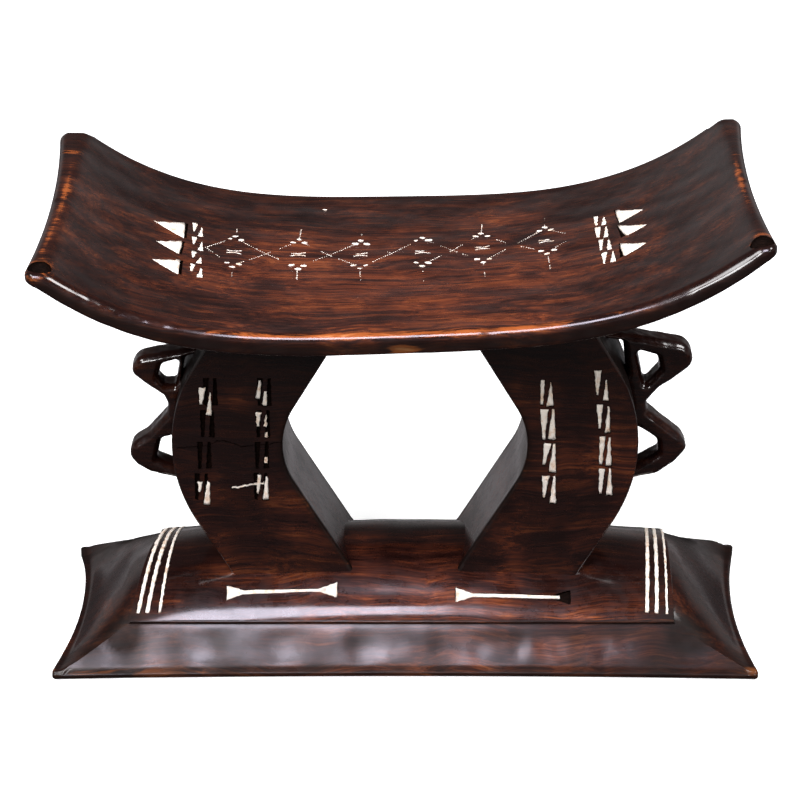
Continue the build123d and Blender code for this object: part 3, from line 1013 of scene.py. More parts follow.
class PunchedLines:
    """Geometry Nodes tree that sets small clay-filled punch marks along lines."""

    def __init__(self, name: str) -> None:
        """Builds the tree.

        Args:
            name: Name of the node tree.
        """
        tree = self.tree = new_tree(name, ["Spacing", "Mark", "Missing"], seeded=True)
        start = add_node(tree, "NodeGroupInput")
        line = add_node(tree, "GeometryNodeMeshToCurve", {"Mesh": start.outputs["Geometry"]})
        places = add_node(
            tree, "GeometryNodeResampleCurve",
            {"Curve": line.outputs[0], "Length": start.outputs["Spacing"]}, mode="LENGTH"
        )
        grain = add_node(
            tree, "GeometryNodeMeshIcoSphere", {"Radius": start.outputs["Mark"], "Subdivisions": 2}
        )
        flat = add_node(
            tree, "GeometryNodeTransform", {"Geometry": grain.outputs[0], "Scale": (1.3, 0.9, 0.45)}
        )
        along = add_node(tree, "GeometryNodeInputTangent").outputs[0]
        turn = add_node(
            tree, "FunctionNodeAlignRotationToVector", {"Vector": along}, axis="X", pivot_axis="Z"
        ).outputs[0]
        stray = add_node(
            tree, "FunctionNodeRandomValue",
            {0: (-0.3, -0.3, -0.3), 1: (0.3, 0.3, 0.0), "Seed": start.outputs["Seed"]},
            data_type="FLOAT_VECTOR"
        )
        near = add_node(
            tree, "ShaderNodeVectorMath", {0: stray.outputs[0], "Scale": start.outputs["Mark"]},
            operation="SCALE"
        ).outputs[0]
        shifted = add_node(tree, "GeometryNodeSetPosition", {"Geometry": places.outputs[0], "Offset": near})
        size = add_node(
            tree, "FunctionNodeRandomValue", {2: 0.55, 3: 1.15, "Seed": start.outputs["Seed"]},
            data_type="FLOAT"
        )
        where = add_node(tree, "GeometryNodeInputPosition").outputs[0]
        patch = add_node(
            tree, "ShaderNodeTexNoise", {"Vector": where, "Scale": per_mm(17), "Detail": 1.0}
        ).outputs[0]
        here = sums(tree, "GREATER_THAN", patch, start.outputs["Missing"])
        inputs = {
            "Points": shifted.outputs[0], "Selection": here, "Instance": flat.outputs[0], "Rotation": turn,
            "Scale": size.outputs[1]
        }
        marks = add_node(tree, "GeometryNodeInstanceOnPoints", inputs)
        real = add_node(tree, "GeometryNodeRealizeInstances", {"Geometry": marks.outputs[0]})
        dressed = add_node(
            tree, "GeometryNodeSetMaterial",
            {"Geometry": real.outputs[0], "Material": start.outputs["Finish"]}
        )
        add_node(tree, "NodeGroupOutput", {0: dressed.outputs[0]})


@dataclass
class PunchedLozenges:
    """Row of lozenges punched along the middle of the seat in dotted lines."""

    surface: Surface
    columns: tuple[float, ...] = (-128.0, -80.0, -33.5, 13.0, 58.0, 106.0)
    tops: tuple[float, ...] = (38.0, 40.0, 38.0, 42.0, 47.0, 49.0)
    middles: tuple[float, ...] = (12.0, 15.0, 14.0, 17.0, 21.0, 25.0)
    bottoms: tuple[float, ...] = (-12.0, -8.0, -8.5, -6.0, -3.0, 3.6)
    spikes: tuple[float, ...] = (67.0, 63.0, 54.0, 62.0, 67.0, 74.0)
    roots: tuple[float, ...] = (-33.0, -41.0, -34.0, -38.0, -34.0, -30.0)
    corners: tuple[tuple[float, float], ...] = (
        (-149.0, 13.0), (-104.0, 13.5), (-57.0, 14.0), (-10.0, 15.5), (35.5, 18.5), (82.0, 23.0),
        (128.0, 26.0)
    )

    def lines(self) -> list[list[tuple[float, float]]]:
        """Dotted lines, each from point to point.

        Returns:
            Lines laid out flat, as points (x, y).
        """
        found = []
        for i, x in enumerate(self.columns):
            for corner in (self.corners[i], self.corners[i + 1]):
                side = 1 if corner[0] > x else -1
                found.append([corner, (x + side * 5.0, self.tops[i] - 4.5)])
                found.append([corner, (x + side * 5.0, self.bottoms[i] + 4.5)])
            found.append([(x, self.tops[i] + 6.0), (x + 0.8, self.spikes[i])])
            found.append([(x, self.bottoms[i] - 6.0), (x + 0.6, self.roots[i])])
        return found

    def ties(self) -> list[list[tuple[float, float]]]:
        """Pair of bent strokes that meet in the middle of each lozenge.

        Returns:
            Lines laid out flat, as points (x, y).
        """
        found = []
        for x, y in zip(self.columns, self.middles):
            found.append([(x - 5.0, y + 2.0), (x - 1.5, y + 1.6), (x + 1.5, y + 2.0), (x + 5.0, y + 3.4)])
            found.append([(x - 5.0, y - 2.6), (x - 1.5, y - 1.2), (x + 1.5, y - 1.0), (x + 5.0, y - 2.2)])
        return found

    def leaves(self) -> list[list[tuple[float, float]]]:
        """Short strokes whose marks are the leaf-shaped nicks over and under each lozenge.

        Returns:
            Lines laid out flat, as points (x, y).
        """
        found = []
        for x, top, bottom in zip(self.columns, self.tops, self.bottoms):
            for dx, dy in ((0.0, top + 3.6), (-4.6, top - 2.0), (4.6, top - 2.4)):
                found.append([(x + dx - 0.6, dy), (x + dx + 0.6, dy)])
            for dx, dy in ((-4.4, bottom + 2.6), (4.4, bottom + 2.2), (0.0, bottom - 3.8)):
                found.append([(x + dx - 0.6, dy), (x + dx + 0.6, dy)])
        return found

    def _punch(
        self, name: str, lines: Sequence[Sequence[tuple[float, float]]], spacing: float, size: float,
        missing: float, seed: int
    ) -> bpy.types.Object:
        """Clay marks along lines, wrapped on the surface.

        Args:
            name: Name of the object.
            lines: The lines, laid out flat.
            spacing: Distance from mark to mark.
            size: Half the width of a mark.
            missing: Share of the marks that have lost their clay.
            seed: Seed of everything random.

        Returns:
            One object of closed marks.
        """
        points, edges = [], []
        for line in lines:
            edges += [(len(points) + i, len(points) + i + 1) for i in range(len(line) - 1)]
            points += [(x * MM, y * MM, 0.0) for x, y in line]
        mesh = bpy.data.meshes.new(name)
        mesh.from_pydata(points, edges, [])
        obj = bpy.data.objects.new(name, mesh)
        bpy.context.scene.collection.objects.link(obj)
        tree = bpy.data.node_groups.get("punched_lines") or PunchedLines("punched_lines").tree
        run_tree(
            obj, tree,
            {
                "Spacing": spacing * MM, "Mark": size * MM, "Missing": missing, "Seed": seed,
                "Finish": CLAY.material()
            }
        )
        move_points(obj, self.surface.wrap(points_of(obj) + (0, 0, -0.12)))
        obj.data.shade_smooth()
        only_finish(obj, CLAY)
        return obj

    def build(self) -> bpy.types.Object:
        """All marks of the row."""
        speck = [[(-62.3, 105.0), (-61.7, 105.0)]]
        return join(
            "punched_lozenges",
            [
                self._punch("dots", self.lines(), 2.1, 0.5, 0.47, 5),
                self._punch("ties", self.ties(), 0.8, 0.55, 0.42, 6),
                self._punch("leaves", self.leaves(), 4.0, 1.6, 0.3, 7),
                self._punch("speck", speck, 4.0, 1.3, 0.0, 8),
            ],
        )


# ---- seat ----------------------------------------------------------------------------------------


@dataclass
class Seat:
    """The saddle-curved seat board."""

    length: float = 529.0
    depth: float = 269.9
    shift: float = -3.7
    heights: tuple[float, float] = (303.6, 300.2)
    sweeps: tuple[float, float] = (68.5, 76.0)
    tilts: tuple[float, float] = (2.1, 0.8)
    curve: float = 3.4
    rim: float = 16.0
    belly: float = 20.5
    bevel: float = 24.0
    tip: float = 9.0
    end_hollow: float = 7.0
    side_hollow: float = 0.5
    corner: float = 11.0
    nicks: tuple[tuple[float, float, float], ...] = (
        (-222.0, 3.0, 1.2), (-214.0, 2.2, 1.5), (-203.0, 4.0, 0.9), (-186.0, 2.5, 1.0), (-171.0, 3.5, 0.8),
        (199.0, 2.6, 0.7), (60.0, 4.0, 0.7)
    )
    end_tops: dict[Side, tuple[float, float]] = field(
        default_factory=lambda: {Side.LEFT: (349.5, 354.0), Side.RIGHT: (370.0, 365.0)}
    )
    insets: tuple[float, ...] = (0, 0.3, 0.8, 1.5, 2.4, 3.5, 4.8, 6.3, 8.0, 10.0, 12.5)
    notches: tuple[float, float] = (-257.2, 249.8)
    notch_y: float = -121.0
    notch_size: tuple[float, float, float] = (8.8, 9.6, 8.0)
    facets: BladeWork = BladeWork(0.45, 48.0, 3)
    scrapes: BladeWork = BladeWork(0.22, 17.0, 4)

    def top(self, x: Array, y: Array) -> Array:
        """Height of the upper face.

        Args:
            x: Distances along the stool, from its middle.
            y: Distances from the middle, less than 0 at the front.

        Returns:
            Heights over the floor.
        """
        share = y / self.depth + 0.5
        out = x - self.shift
        slope = np.tan(np.radians(mix(*self.tilts, share)))
        curve = mix(*self.heights, share) + out * slope
        curve = curve + mix(*self.sweeps, share) * np.abs(2 * out / self.length) ** self.curve
        flat = np.where(
            out < 0, mix(*self.end_tops[Side.LEFT], share), mix(*self.end_tops[Side.RIGHT], share)
        )
        return soft_least(curve, flat, 3.0)

    def underside(self, x: Array, y: Array) -> Array:
        """Height of the lower face.

        Args:
            x: Distances along the stool, from its middle.
            y: Distances from the middle, less than 0 at the front.

        Returns:
            Heights over the floor.
        """
        share = y / self.depth + 0.5
        out = x - self.shift
        slope = np.tan(np.radians(mix(*self.tilts, share)))
        part = np.abs(2 * out / self.length)
        curve = mix(*self.heights, share) + out * slope + mix(*self.sweeps, share) * part**self.curve
        inward = np.clip((self.depth / 2 - np.abs(y)) / self.bevel, 0, 1)
        belly = mix(self.rim, self.belly, inward * inward * (3 - 2 * inward))
        return curve - self.rim - (belly - self.rim) * (1 - np.minimum(part, 1.0) ** 4)

    def half_length(self, y: Array) -> Array:
        """Distance from the seat's middle to its end.

        Args:
            y: Distances from the middle, less than 0 at the front.

        Returns:
            Distances along the stool.
        """
        scoop = self.end_hollow * (1 - (2 * y / self.depth) ** 2)
        past = np.clip(np.abs(y) - (self.depth / 2 - self.corner), 0, self.corner)
        return self.length / 2 - scoop - (self.corner - np.sqrt(self.corner**2 - past**2))

    def half_depth(self, x: Array) -> Array:
        """Distance from the middle to a long edge."""
        return self.depth / 2 - self.side_hollow * (1 - (2 * (x - self.shift) / self.length) ** 2)

    def edge_radius(self, x: Array, y: Array) -> Array:
        """How round the upper edge is worn: least in the middle of the long edges.

        Args:
            x: Distances along the stool, from its middle.
            y: Distances from the middle, less than 0 at the front.

        Returns:
            Radii in millimetres.
        """
        out = np.clip(np.abs(2 * (x - self.shift) / self.length), 0, 1)
        tip = np.clip((1.0 - out) / 0.07, 0, 1)
        front = mix(6.5, 9.5, np.clip((out - 0.62) / 0.25, 0, 1))
        return np.where(y < 0, mix(3.2, front, tip), mix(3.0, 5.5, out > 0.9))

    def plan_inset(self, x: Array, y: Array) -> Array:
        """Distance in from the outline, seen from above.

        Args:
            x: Distances along the stool, from its middle.
            y: Distances from the middle, less than 0 at the front.

        Returns:
            Distances, 0 on the outline and past it.
        """
        across = self.half_depth(x) - np.abs(y)
        along = self.half_length(y) - np.abs(x - self.shift)
        return np.maximum(np.minimum(across, along), 0)

    def wrap(self, flat: Array) -> Array:
        """Places on the upper face of flat points (x, y, height)."""
        x, y, over = flat[..., 0], flat[..., 1], flat[..., 2]
        return np.stack([x, y, self.top(x, y) + over], -1)

    def board(self) -> bpy.types.Object:
        """The uncut board.

        Returns:
            The board as one closed object.
        """
        v = graded(self.insets, self.depth / 2, 3.0) / (self.depth / 2)
        s = graded(self.insets, self.length / 2, 3.2) / (self.length / 2)
        share_x, share_y = np.meshgrid(s, v, indexing="ij")
        y = share_y * self.depth / 2
        for _ in range(2):
            x = self.shift + share_x * self.half_length(y)
            y = share_y * self.half_depth(x)
        inset = self.plan_inset(x, y)
        out = np.abs(2 * (x - self.shift) / self.length)
        upper = self.top(x, y) - round_off(inset, self.edge_radius(x, y))
        lower = soft_least(self.underside(x, y), self.top(x, y) - self.tip, 4.0) + round_off(inset, 2.4)
        spot_3d = np.stack([x, y, upper], -1)
        calm = np.clip(inset / 11, 0.25, 1) * np.clip((1.02 - out) / 0.1, 0.4, 1)
        upper = upper - (self.facets.at(spot_3d) + self.scrapes.at(spot_3d)) * calm
        for place, wide, deep in self.nicks:
            upper = upper - deep * bell(x - place, wide) * bell(inset, 5.0) * (y < 0)
        lower = lower + self.facets.at(spot_3d + 40) + self.scrapes.at(spot_3d + 70)
        return slab(
            "seat_board", np.stack([x, y, upper], -1), np.stack([x, y, lower], -1), (0.2, 0.4, 0.6, 0.8)
        )

    def wear(self, board: bpy.types.Object) -> None:
        """Marks where the board is worn and rubbed thin, and where shade is painted on the rim's face.

        Args:
            board: The carved board.
        """
        points = points_of(board)
        x, y, _ = points.T
        inset = self.plan_inset(x, y)
        under = self.top(x, y) - points[:, 2]
        out = np.abs(2 * (x - self.shift) / self.length)
        middle = np.clip(1.6 - 2.0 * out, 0, 1) * (y < 0)
        edge = 0.9 * bell(inset - 2.5, 4.5) * bell(under, 5.5) * mix(0.18, 1.0, middle)
        foot = bell(inset, 2.5) * bell(self.rim - under, 3.0) * 0.35
        border = self.half_length(y) - np.abs(x - self.shift) - np.where(x < 0, 9.0 + y / 40.0, 7.5)
        along = np.where(x < 0, bell(y + 10, 95.0, 6), bell(y - 2, 58.0, 4))
        line = bell(border, 3.0) * (under < 3) * along * (0.64 + 0.15 * np.sin(y / 17.0 + 1.0))
        tips = [spot(points[:, :2], (c, -119.5), (12.0, 13.0)) for c in (-258.0, 251.5)]
        patch = spot(points, (-1.0, -134.0, 292.0), (9.0, 3.0, 3.5)) * 1.2
        band = 0.42 * bell(y + 121, 9.0) * (under < 3) * np.clip(1.5 - 2.2 * out, 0, 1)
        slit = spot(points[:, :2], (-254.0, 91.0), (7.0, 2.5)) * 0.7
        mark(
            board, "worn",
            np.maximum.reduce([edge, foot, line, patch, band, slit, *[0.65 * t for t in tips]])
        )
        # Painted shade: the lower band of the rim's face is darkened and its gloss dulled.
        mark(board, "soot_and_shade", bell(under - 10.5, 4.5) * 0.9 * bell(inset, 3.0))
        sat_on = bell(np.abs(x + 10), 185.0, 3) * bell(y + 35, 125.0)
        mark(
            board, "thin",
            np.where(under < 6, 0.06 + 0.72 * sat_on + 0.5 * (line + band), 0.05 + 0.2 * middle)
        )

    def chips(self, side: Side) -> tuple[list[Chip], list[Chip], list[Chip]]:
        """Triangles of clay, the larger triangles cut for them, and the ladder at one end.

        A triangle is given by the corners of its blunt end and its sharp corner. A row of the ladder
        gives the middle of a chip's wide end and of its narrow end, and the widths of both ends.

        Args:
            side: The end of the stool.

        Returns:
            Chips of the triangles, chips that are cut for them, and chips of the ladder.
        """
        if side is Side.LEFT:
            clay = (
                ((-166.9, 50.2), (-166.2, 21.8), (-188.7, 36.7)),
                ((-167.0, 15.6), (-167.9, -9.2), (-184.6, 3.1)),
                ((-166.4, -19.1), (-166.0, -45.1), (-185.1, -30.8))
            )
            cuts = [replace(three_cornered(*corners, 2.4), layer=1) for corners in clay]
            ladder = (
                (-159.2, 54.3, -159.3, 39.2, 3.8, 1.1), (-158.2, 28.1, -158.1, 15.5, 3.8, 1.0),
                (-157.0, 2.5, -157.1, -9.9, 3.8, 0.9), (-156.5, -21.9, -157.0, -33.3, 3.5, 1.1),
                (-154.0, 32.0, -153.8, 48.6, 3.5, 0.6), (-152.5, 6.3, -152.4, 21.6, 3.5, 0.6),
                (-152.4, -17.8, -151.4, -7.2, 3.8, 1.1), (-150.3, -42.2, -150.0, -26.0, 4.0, 1.2),
            )
        else:
            clay = (
                ((159.8, 58.2), (161.6, 31.9), (179.1, 42.6)), ((159.5, 27.3), (165.3, 3.4), (179.7, 10.5)),
                ((158.8, -8.4), (161.0, -34.6), (176.8, -22.8))
            )
            wider = (
                ((159.0, 59.0), (160.3, 30.9), (179.5, 42.8)), ((159.0, 28.3), (160.6, 2.4), (180.0, 10.8)),
                ((158.1, -7.4), (157.3, -35.2), (177.2, -22.4))
            )
            cuts = [replace(three_cornered(*corners), layer=1) for corners in wider]
            ladder = (
                (144.9, 56.5, 144.1, 39.4, 3.2, 1.3), (144.8, 34.3, 144.3, 14.4, 4.3, 2.0),
                (146.0, 8.7, 144.8, -10.4, 3.3, 1.2), (146.7, -17.8, 145.5, -37.9, 3.8, 0.9),
                (149.7, 36.6, 150.8, 51.9, 3.5, 0.8), (149.9, 11.7, 151.2, 32.1, 3.3, 0.8),
                (150.9, -13.9, 151.4, 5.0, 3.3, 0.9), (152.1, -38.6, 153.0, -19.3, 3.8, 0.8),
            )
        return [three_cornered(*corners) for corners in clay], cuts, [wedge(*piece) for piece in ladder]

    def notch(self, x: float) -> bpy.types.Object:
        """Tool shape of the thumb notch on a front tip.

        Args:
            x: Where the notch is, along the seat.

        Returns:
            The closed tool, in the finish of a recess.
        """
        work = bmesh.new()
        bmesh.ops.create_icosphere(work, subdivisions=4, radius=1.0)
        points = np.array([v.co for v in work.verts])
        faces = [[v.index for v in f.verts] for f in work.faces]
        work.free()
        shaped = points * np.array(self.notch_size)
        y = shaped[:, 1] + self.notch_y
        high = self.top(shaped[:, 0] + x, np.clip(y, -134, 134)) + 0.3
        tool = new_object("tip_notch", np.stack([shaped[:, 0] + x, y, shaped[:, 2] + high], -1), faces)
        only_finish(tool, RECESS)
        return tool

    def build(self) -> bpy.types.Object:
        """The seat with its carving cut, in its finish.

        Returns:
            The dressed board.
        """
        board = self.board()
        board.data.materials.append(WOOD.material())
        for x in self.notches:
            cut(board, self.notch(x))
        ChipRow("seat_slit", [wedge(-262.0, 91.0, -250.5, 91.4, 1.6, 0.5)], self, 9, room=0.0).carve(board)
        for side in Side:
            triangles, cuts, ladder = self.chips(side)
            for word, chips, empty, seed in (("triangle", triangles, cuts, 11), ("ladder", ladder, [], 21)):
                row = ChipRow(
                    f"seat_{side.word}_{word}", chips, self, seed + side.value, empty=empty,
                    room=0.4 if empty else 1.2
                )
                row.carve(board)
                dress(row.clay(), f"seat_{side.word}_{word}_clay")
        marks = PunchedLozenges(self).build()
        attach(marks, "root")
        LOG.info("%s: %d faces", marks.name, len(marks.data.polygons))
        self.wear(board)
        board.data.set_sharp_from_angle(angle=math.radians(50))
        dress(board, "seat")
        return board


def dress(obj: bpy.types.Object, node: str) -> None:
    """Hangs a finished piece on the frame in the place of a solid, and reports it.

    Args:
        obj: The finished piece.
        node: Name of the solid.
    """
    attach(obj, "root")
    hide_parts(node)
    LOG.info("%s stands for %s: %d faces", obj.name, node, len(obj.data.polygons))


# ---- base ----------------------------------------------------------------------------------------


@dataclass
class Base:
    """The stepped base with its vault."""

    length: float = 537.6
    depth: float = 202.0
    end_hollow: float = 11.0
    side_hollow: float = 4.5
    corner: float = 5.0
    lip: float = 6.5
    ledge_depth: float = 144.0
    ledge_length: float = 410.0
    ledge: float = 33.0
    step: float = 3.0
    crest: float = 74.4
    drop: float = 15.5
    end_step: float = 2.5
    points_across: int = 26
    lip_y: tuple[float, ...] = (73.1, 73.5, 73.5, 72.9, 71.9, 71.8)
    lip_z: tuple[float, ...] = (35.1, 34.7, 34.3, 33.9, 33.4, 32.9)
    skirt_start: tuple[float, float] = (72.6, 32.454)
    shoulder: float = 73.5
    facets: BladeWork = BladeWork(0.5, 52.0, 13)
    scrapes: BladeWork = BladeWork(0.18, 19.0, 14)
    hollows: BladeWork = BladeWork(1.2, 44.0, 25)
    gouges: BladeWork = BladeWork(0.4, 15.0, 16)

    def crest_at(self, x: Array) -> Array:
        """Height of the vault's crest."""
        return self.crest - self.drop * (2 * x / self.ledge_length) ** 2

    def arc(self, x: Array) -> tuple[Array, Array]:
        """Centre height and radius of the vault's arc.

        Args:
            x: Distances along the stool, from its middle.

        Returns:
            Heights of the centre, and radii.
        """
        half = self.ledge_depth / 2
        rise = self.crest_at(x) - self.ledge - self.step
        radius = (half**2 + rise**2) / (2 * rise)
        return self.crest_at(x) - radius, radius

    def hollow(self, x: Array, y: Array) -> Array:
        """How far the vault's foot is scraped hollow, above its rolled edge.

        Args:
            x: Distances along the stool, from its middle.
            y: Distances from the middle, less than 0 at the front.

        Returns:
            Depths in millimetres.
        """
        y = np.abs(y)
        share = np.clip(np.where(y < 56, (y - 15) / 41, (self.ledge_depth / 2 - y) / 16), 0, 1)
        return 3.0 * np.clip((self.crest_at(x) - 65) / 9.4, 0, 1) * share * share * (3 - 2 * share)

    def vault(self, x: Array, y: Array) -> Array:
        """Height of the vault."""
        centre, radius = self.arc(x)
        return centre + np.sqrt(np.maximum(radius**2 - y**2, 1.0)) - self.hollow(x, y)

    def wrap(self, flat: Array) -> Array:
        """Places on the vault of flat points (x, length round the arc, height).

        Args:
            flat: The flat points, the last axis being those three.

        Returns:
            Points (x, y, z).
        """
        x, round_arc, over = flat[..., 0], flat[..., 1], flat[..., 2]
        centre, radius = self.arc(x)
        angle = round_arc / radius
        y = (radius + over) * np.sin(angle)
        return np.stack([x, y, centre + (radius + over) * np.cos(angle) - self.hollow(x, y)], -1)

    def half_length(self, y: Array) -> Array:
        """Distance from the middle to the end.

        Args:
            y: Distances from the middle, less than 0 at the front.

        Returns:
            Distances along the stool.
        """
        scoop = self.end_hollow * (1 - (2 * y / self.depth) ** 2)
        past = np.clip(np.abs(y) - (self.depth / 2 - self.corner), 0, self.corner)
        return self.length / 2 - scoop - (self.corner - np.sqrt(self.corner**2 - past**2))

    def profile(self, x: float) -> tuple[Array, Array]:
        """Half section from the crest to the rim, at one place along the base.

        Args:
            x: Distance from the middle.

        Returns:
            Distances from the middle plane, and heights.
        """
        half = self.ledge_depth / 2
        rim_y, rim_z = self.depth / 2, self.lip
        out = abs(x)
        share = np.sin(np.linspace(0, 1, self.points_across) * math.pi / 2) ** 0.9
        if out <= self.ledge_length / 2:
            y = share * half
            z = self.vault(np.full(self.points_across, x), y)
            z = z - 0.5 * share**12
            y = y + 0.6 * share**9
            lip_y, lip_z = np.array(self.lip_y), np.array(self.lip_z)
            start_y, start_z = self.skirt_start
        else:
            reach = self.ledge_length / 2
            t = min(1.0, (out - reach) / (self.length / 2 - self.end_hollow / 2 - reach))
            shoulder_z = mix(self.ledge, rim_z, t)
            shoulder_y = mix(half, rim_y, t)
            top = mix(float(self.crest_at(reach)) - self.end_step, rim_z + 0.5, t)
            rise = max(top - shoulder_z, 0.3)
            radius = (shoulder_y**2 + rise**2) / (2 * rise)
            y = share * shoulder_y
            z = top - radius + np.sqrt(radius**2 - y**2)
            run = np.linspace(0.1, 0.6, 6)
            lip_y = shoulder_y + run * min(1.0, rim_y - shoulder_y)
            lip_z = shoulder_z - run * min(1.0, rim_y - shoulder_y) * 0.91
            start_y, start_z = float(lip_y[-1]), float(lip_z[-1])
        slope = np.array([0.04, 0.1, 0.2, 0.32, 0.45, 0.58, 0.7, 0.8, 0.88, 0.93, 0.965, 0.985, 1.0])
        skirt_y = mix(start_y, rim_y, slope)
        skirt_z = mix(start_z, rim_z, slope)
        return np.concatenate([y, lip_y, skirt_y]), np.concatenate([z, lip_z, skirt_z])

    def body(self) -> bpy.types.Object:
        """The uncut base.

        Returns:
            The base as one closed object.
        """
        reach = self.ledge_length / 2
        insets = (0, 0.4, 1.0, 1.9, 3.0, 4.5, 6.5)
        ends = [self.length / 2 - i for i in insets]
        slope = np.linspace(self.length / 2 - 9.5, reach + 2.2, 15)
        right = [*ends, *slope, reach + 0.9, reach + 0.3, reach - 0.3, reach - 0.9, reach - 2.2]
        stations = np.array(
            [*[-r for r in right], *np.linspace(-reach + 5.5, reach - 5.5, 112), *right[::-1]]
        )
        rows = []
        for x in stations:
            half_y, half_z = self.profile(float(x))
            y = np.concatenate([-half_y[::-1], half_y[1:]])
            z = np.concatenate([half_z[::-1], half_z[1:]])
            rows.append(np.stack([np.full(len(y), x), y, z], -1))
        upper = np.array(rows)
        x, y, z = upper[..., 0], upper[..., 1], upper[..., 2]
        # The long sides and the ends are scooped in.
        scoop = self.side_hollow * (1 - (2 * x / self.length) ** 2)
        outer = np.clip((np.abs(y) - self.shoulder) / (self.depth / 2 - self.shoulder), 0, 1)
        y = y - np.sign(y) * scoop * outer
        near_end = 1 - np.clip(np.abs(np.abs(x) - reach) / 45.0, 0, 1)
        x = x + np.sign(x) * (self.vault_end(x, y) - reach) * near_end
        past = np.clip((np.abs(x) - reach - 9) / (self.length / 2 - reach - 9), 0, 1)
        x = np.sign(x) * (np.abs(x) - past * (self.length / 2 - self.half_length(y)))
        # It stands a little askew: fuller behind on the right, cut back behind on the left.
        back = y / (self.depth / 2)
        x = x + past * (x < 0) * (2.0 * (1 + back) + 2.0 * (1 - back**2))
        y = y + outer * np.where(y > 0, 4.0 * x / 268.0, -1.0)
        inset = np.minimum(self.depth / 2 - scoop - np.abs(y), self.half_length(y) - np.abs(x))
        inset = np.maximum(inset, 0)
        z = z - round_off(inset, 2.4) * (z < self.lip + 12)
        lower = np.stack([x, y, np.zeros_like(z) + round_off(inset, 1.2)], -1)
        place = np.stack([x, y, z], -1)
        calm = 1 - 0.8 * bell(np.abs(y) - 68, 7)
        carve = (
            (self.facets.at(place) + self.scrapes.at(place)) * calm
            * np.clip(1.5 - np.abs(x) / 250, 0.45, 1)
        )
        on_skirt = np.clip((np.abs(y) - 75) / 6, 0, 1) * np.clip((250 - np.abs(x)) / 40, 0, 1)
        z = (
            z - (carve + (self.hollows.at(place) + self.gouges.at(place)) * on_skirt)
            * np.clip(inset / 8, 0.15, 1)
        )
        return slab("stool_base", np.stack([x, y, z], -1), lower, (0.25, 0.5, 0.75))

    def wear(self, body: bpy.types.Object) -> None:
        """Marks where the base is worn, sooted and rubbed thin, and where shade is painted on it.

        Args:
            body: The carved piece.
        """
        points = points_of(body)
        x, y, z = points.T
        scoop = self.side_hollow * (1 - (2 * x / self.length) ** 2)
        inset = np.minimum(self.depth / 2 - scoop - np.abs(y), self.half_length(y) - np.abs(x))
        rim = bell(np.maximum(inset - 1.5, 0), 2.2) * bell(z - self.lip + 1, 3)
        on_vault = np.abs(x) < self.vault_end(x, y)
        roll = bell(np.abs(y) - 72.0, 4.0) * (z > 35) * on_vault * np.clip(0.3 + x / 500, 0, 1)
        # Painted shade in the crevice under the vault's lip.
        crevice_shade = bell(np.abs(y) - 72.2, 1.6) * (z < 35.5) * (z > 30) * on_vault
        corner = spot(points, (263.0, -98.0, 6.5), (4.5, 3.0, 3.5))
        mark(body, "worn", np.maximum.reduce([rim * (0.25 + 0.35 * (x < -150)), roll * 0.75, corner]))
        on_skirt = np.clip((np.abs(y) - 73) / 3, 0, 1)
        soot = (0.22 + BladeWork(0.62, 24.0, 18).at(points)) * on_skirt * np.where(x < -120, 1.15, 1.0)
        # Painted shade: a dark, dull spot on each hip ridge where the skirt meets the end slope, and a dark
        # band along the base's foot; the skirt's mottling is soot.
        ridge = np.minimum(1.4 * spot(np.abs(points[:, :2]), (215.0, 78.0), (15.0, 12.0)), 1.0)
        mark(body, "soot_and_shade", np.maximum.reduce([crevice_shade, 0.8 * (z < 4.5), soot, ridge]))
        front = np.clip(-y / 60, 0, 1)
        middle = bell(x, 230.0, 6)
        between = bell(x, 75.0, 4)
        mark(
            body, "thin",
            0.06 + (0.33 + 0.2 * between) * front * middle + 0.16 * (np.abs(y) > 72) * front + 0.2 * between
        )
        patchy = BladeWork(0.7, 30.0, 17).at(points)
        mark(body, "dull", (0.1 + patchy) * on_skirt * np.clip(1 - (x - 30) / 110, 0.1, 1))

    def vault_end(self, x: Array, y: Array) -> Array:
        """Distance from the middle to the vault's end: the left one was cut askew."""
        askew = np.clip(198.2 - 0.16 * y, 193.0, 212.0)
        return np.where(x < 0, askew, self.ledge_length / 2 + 0 * y)

    def stripes(self, side: Side) -> list[Chip]:
        """Stripes over the vault near one end, laid out flat.

        Args:
            side: The end of the stool.

        Returns:
            One chip for each stripe.
        """
        if side is Side.LEFT:
            lines = ((-194.4, 7.2, 2.5), (-187.8, 7.0, 2.7), (-180.8, 5.0, 1.9))
        else:
            lines = ((188.8, 3.4, 2.5), (195.4, 2.7, 2.5), (202.2, 2.0, 1.4))
        return [Chip((x, 0.0), -lean, wide, 144.0, wide) for x, lean, wide in lines]

    def bars(self, face: Face) -> tuple[list[Chip], list[Chip]]:
        """Bars with flared ends on one slope of the vault, laid out flat.

        Args:
            face: The front or the back.

        Returns:
            Chips that kept their clay, and chips that lost it.
        """
        chips, empty = [], []
        for x, y, half in ((-94.0, 54.5, 42.0), (82.5, 58.0, 43.5)):
            _, radius = self.arc(np.array(x))
            across = face.value * float(radius * math.asin(y / float(radius)))
            chips.append(wedge(x - half + 8, across, x + half - 8, across, 2.8, 1.8))
            for sign in (-1, 1):
                lost = face is Face.FRONT and x > 0 and sign > 0
                (empty if lost else chips).append(
                    wedge(x + sign * half, across, x + sign * (half - 15), across, 12.0, 1.6, 1)
                )
        return chips, empty

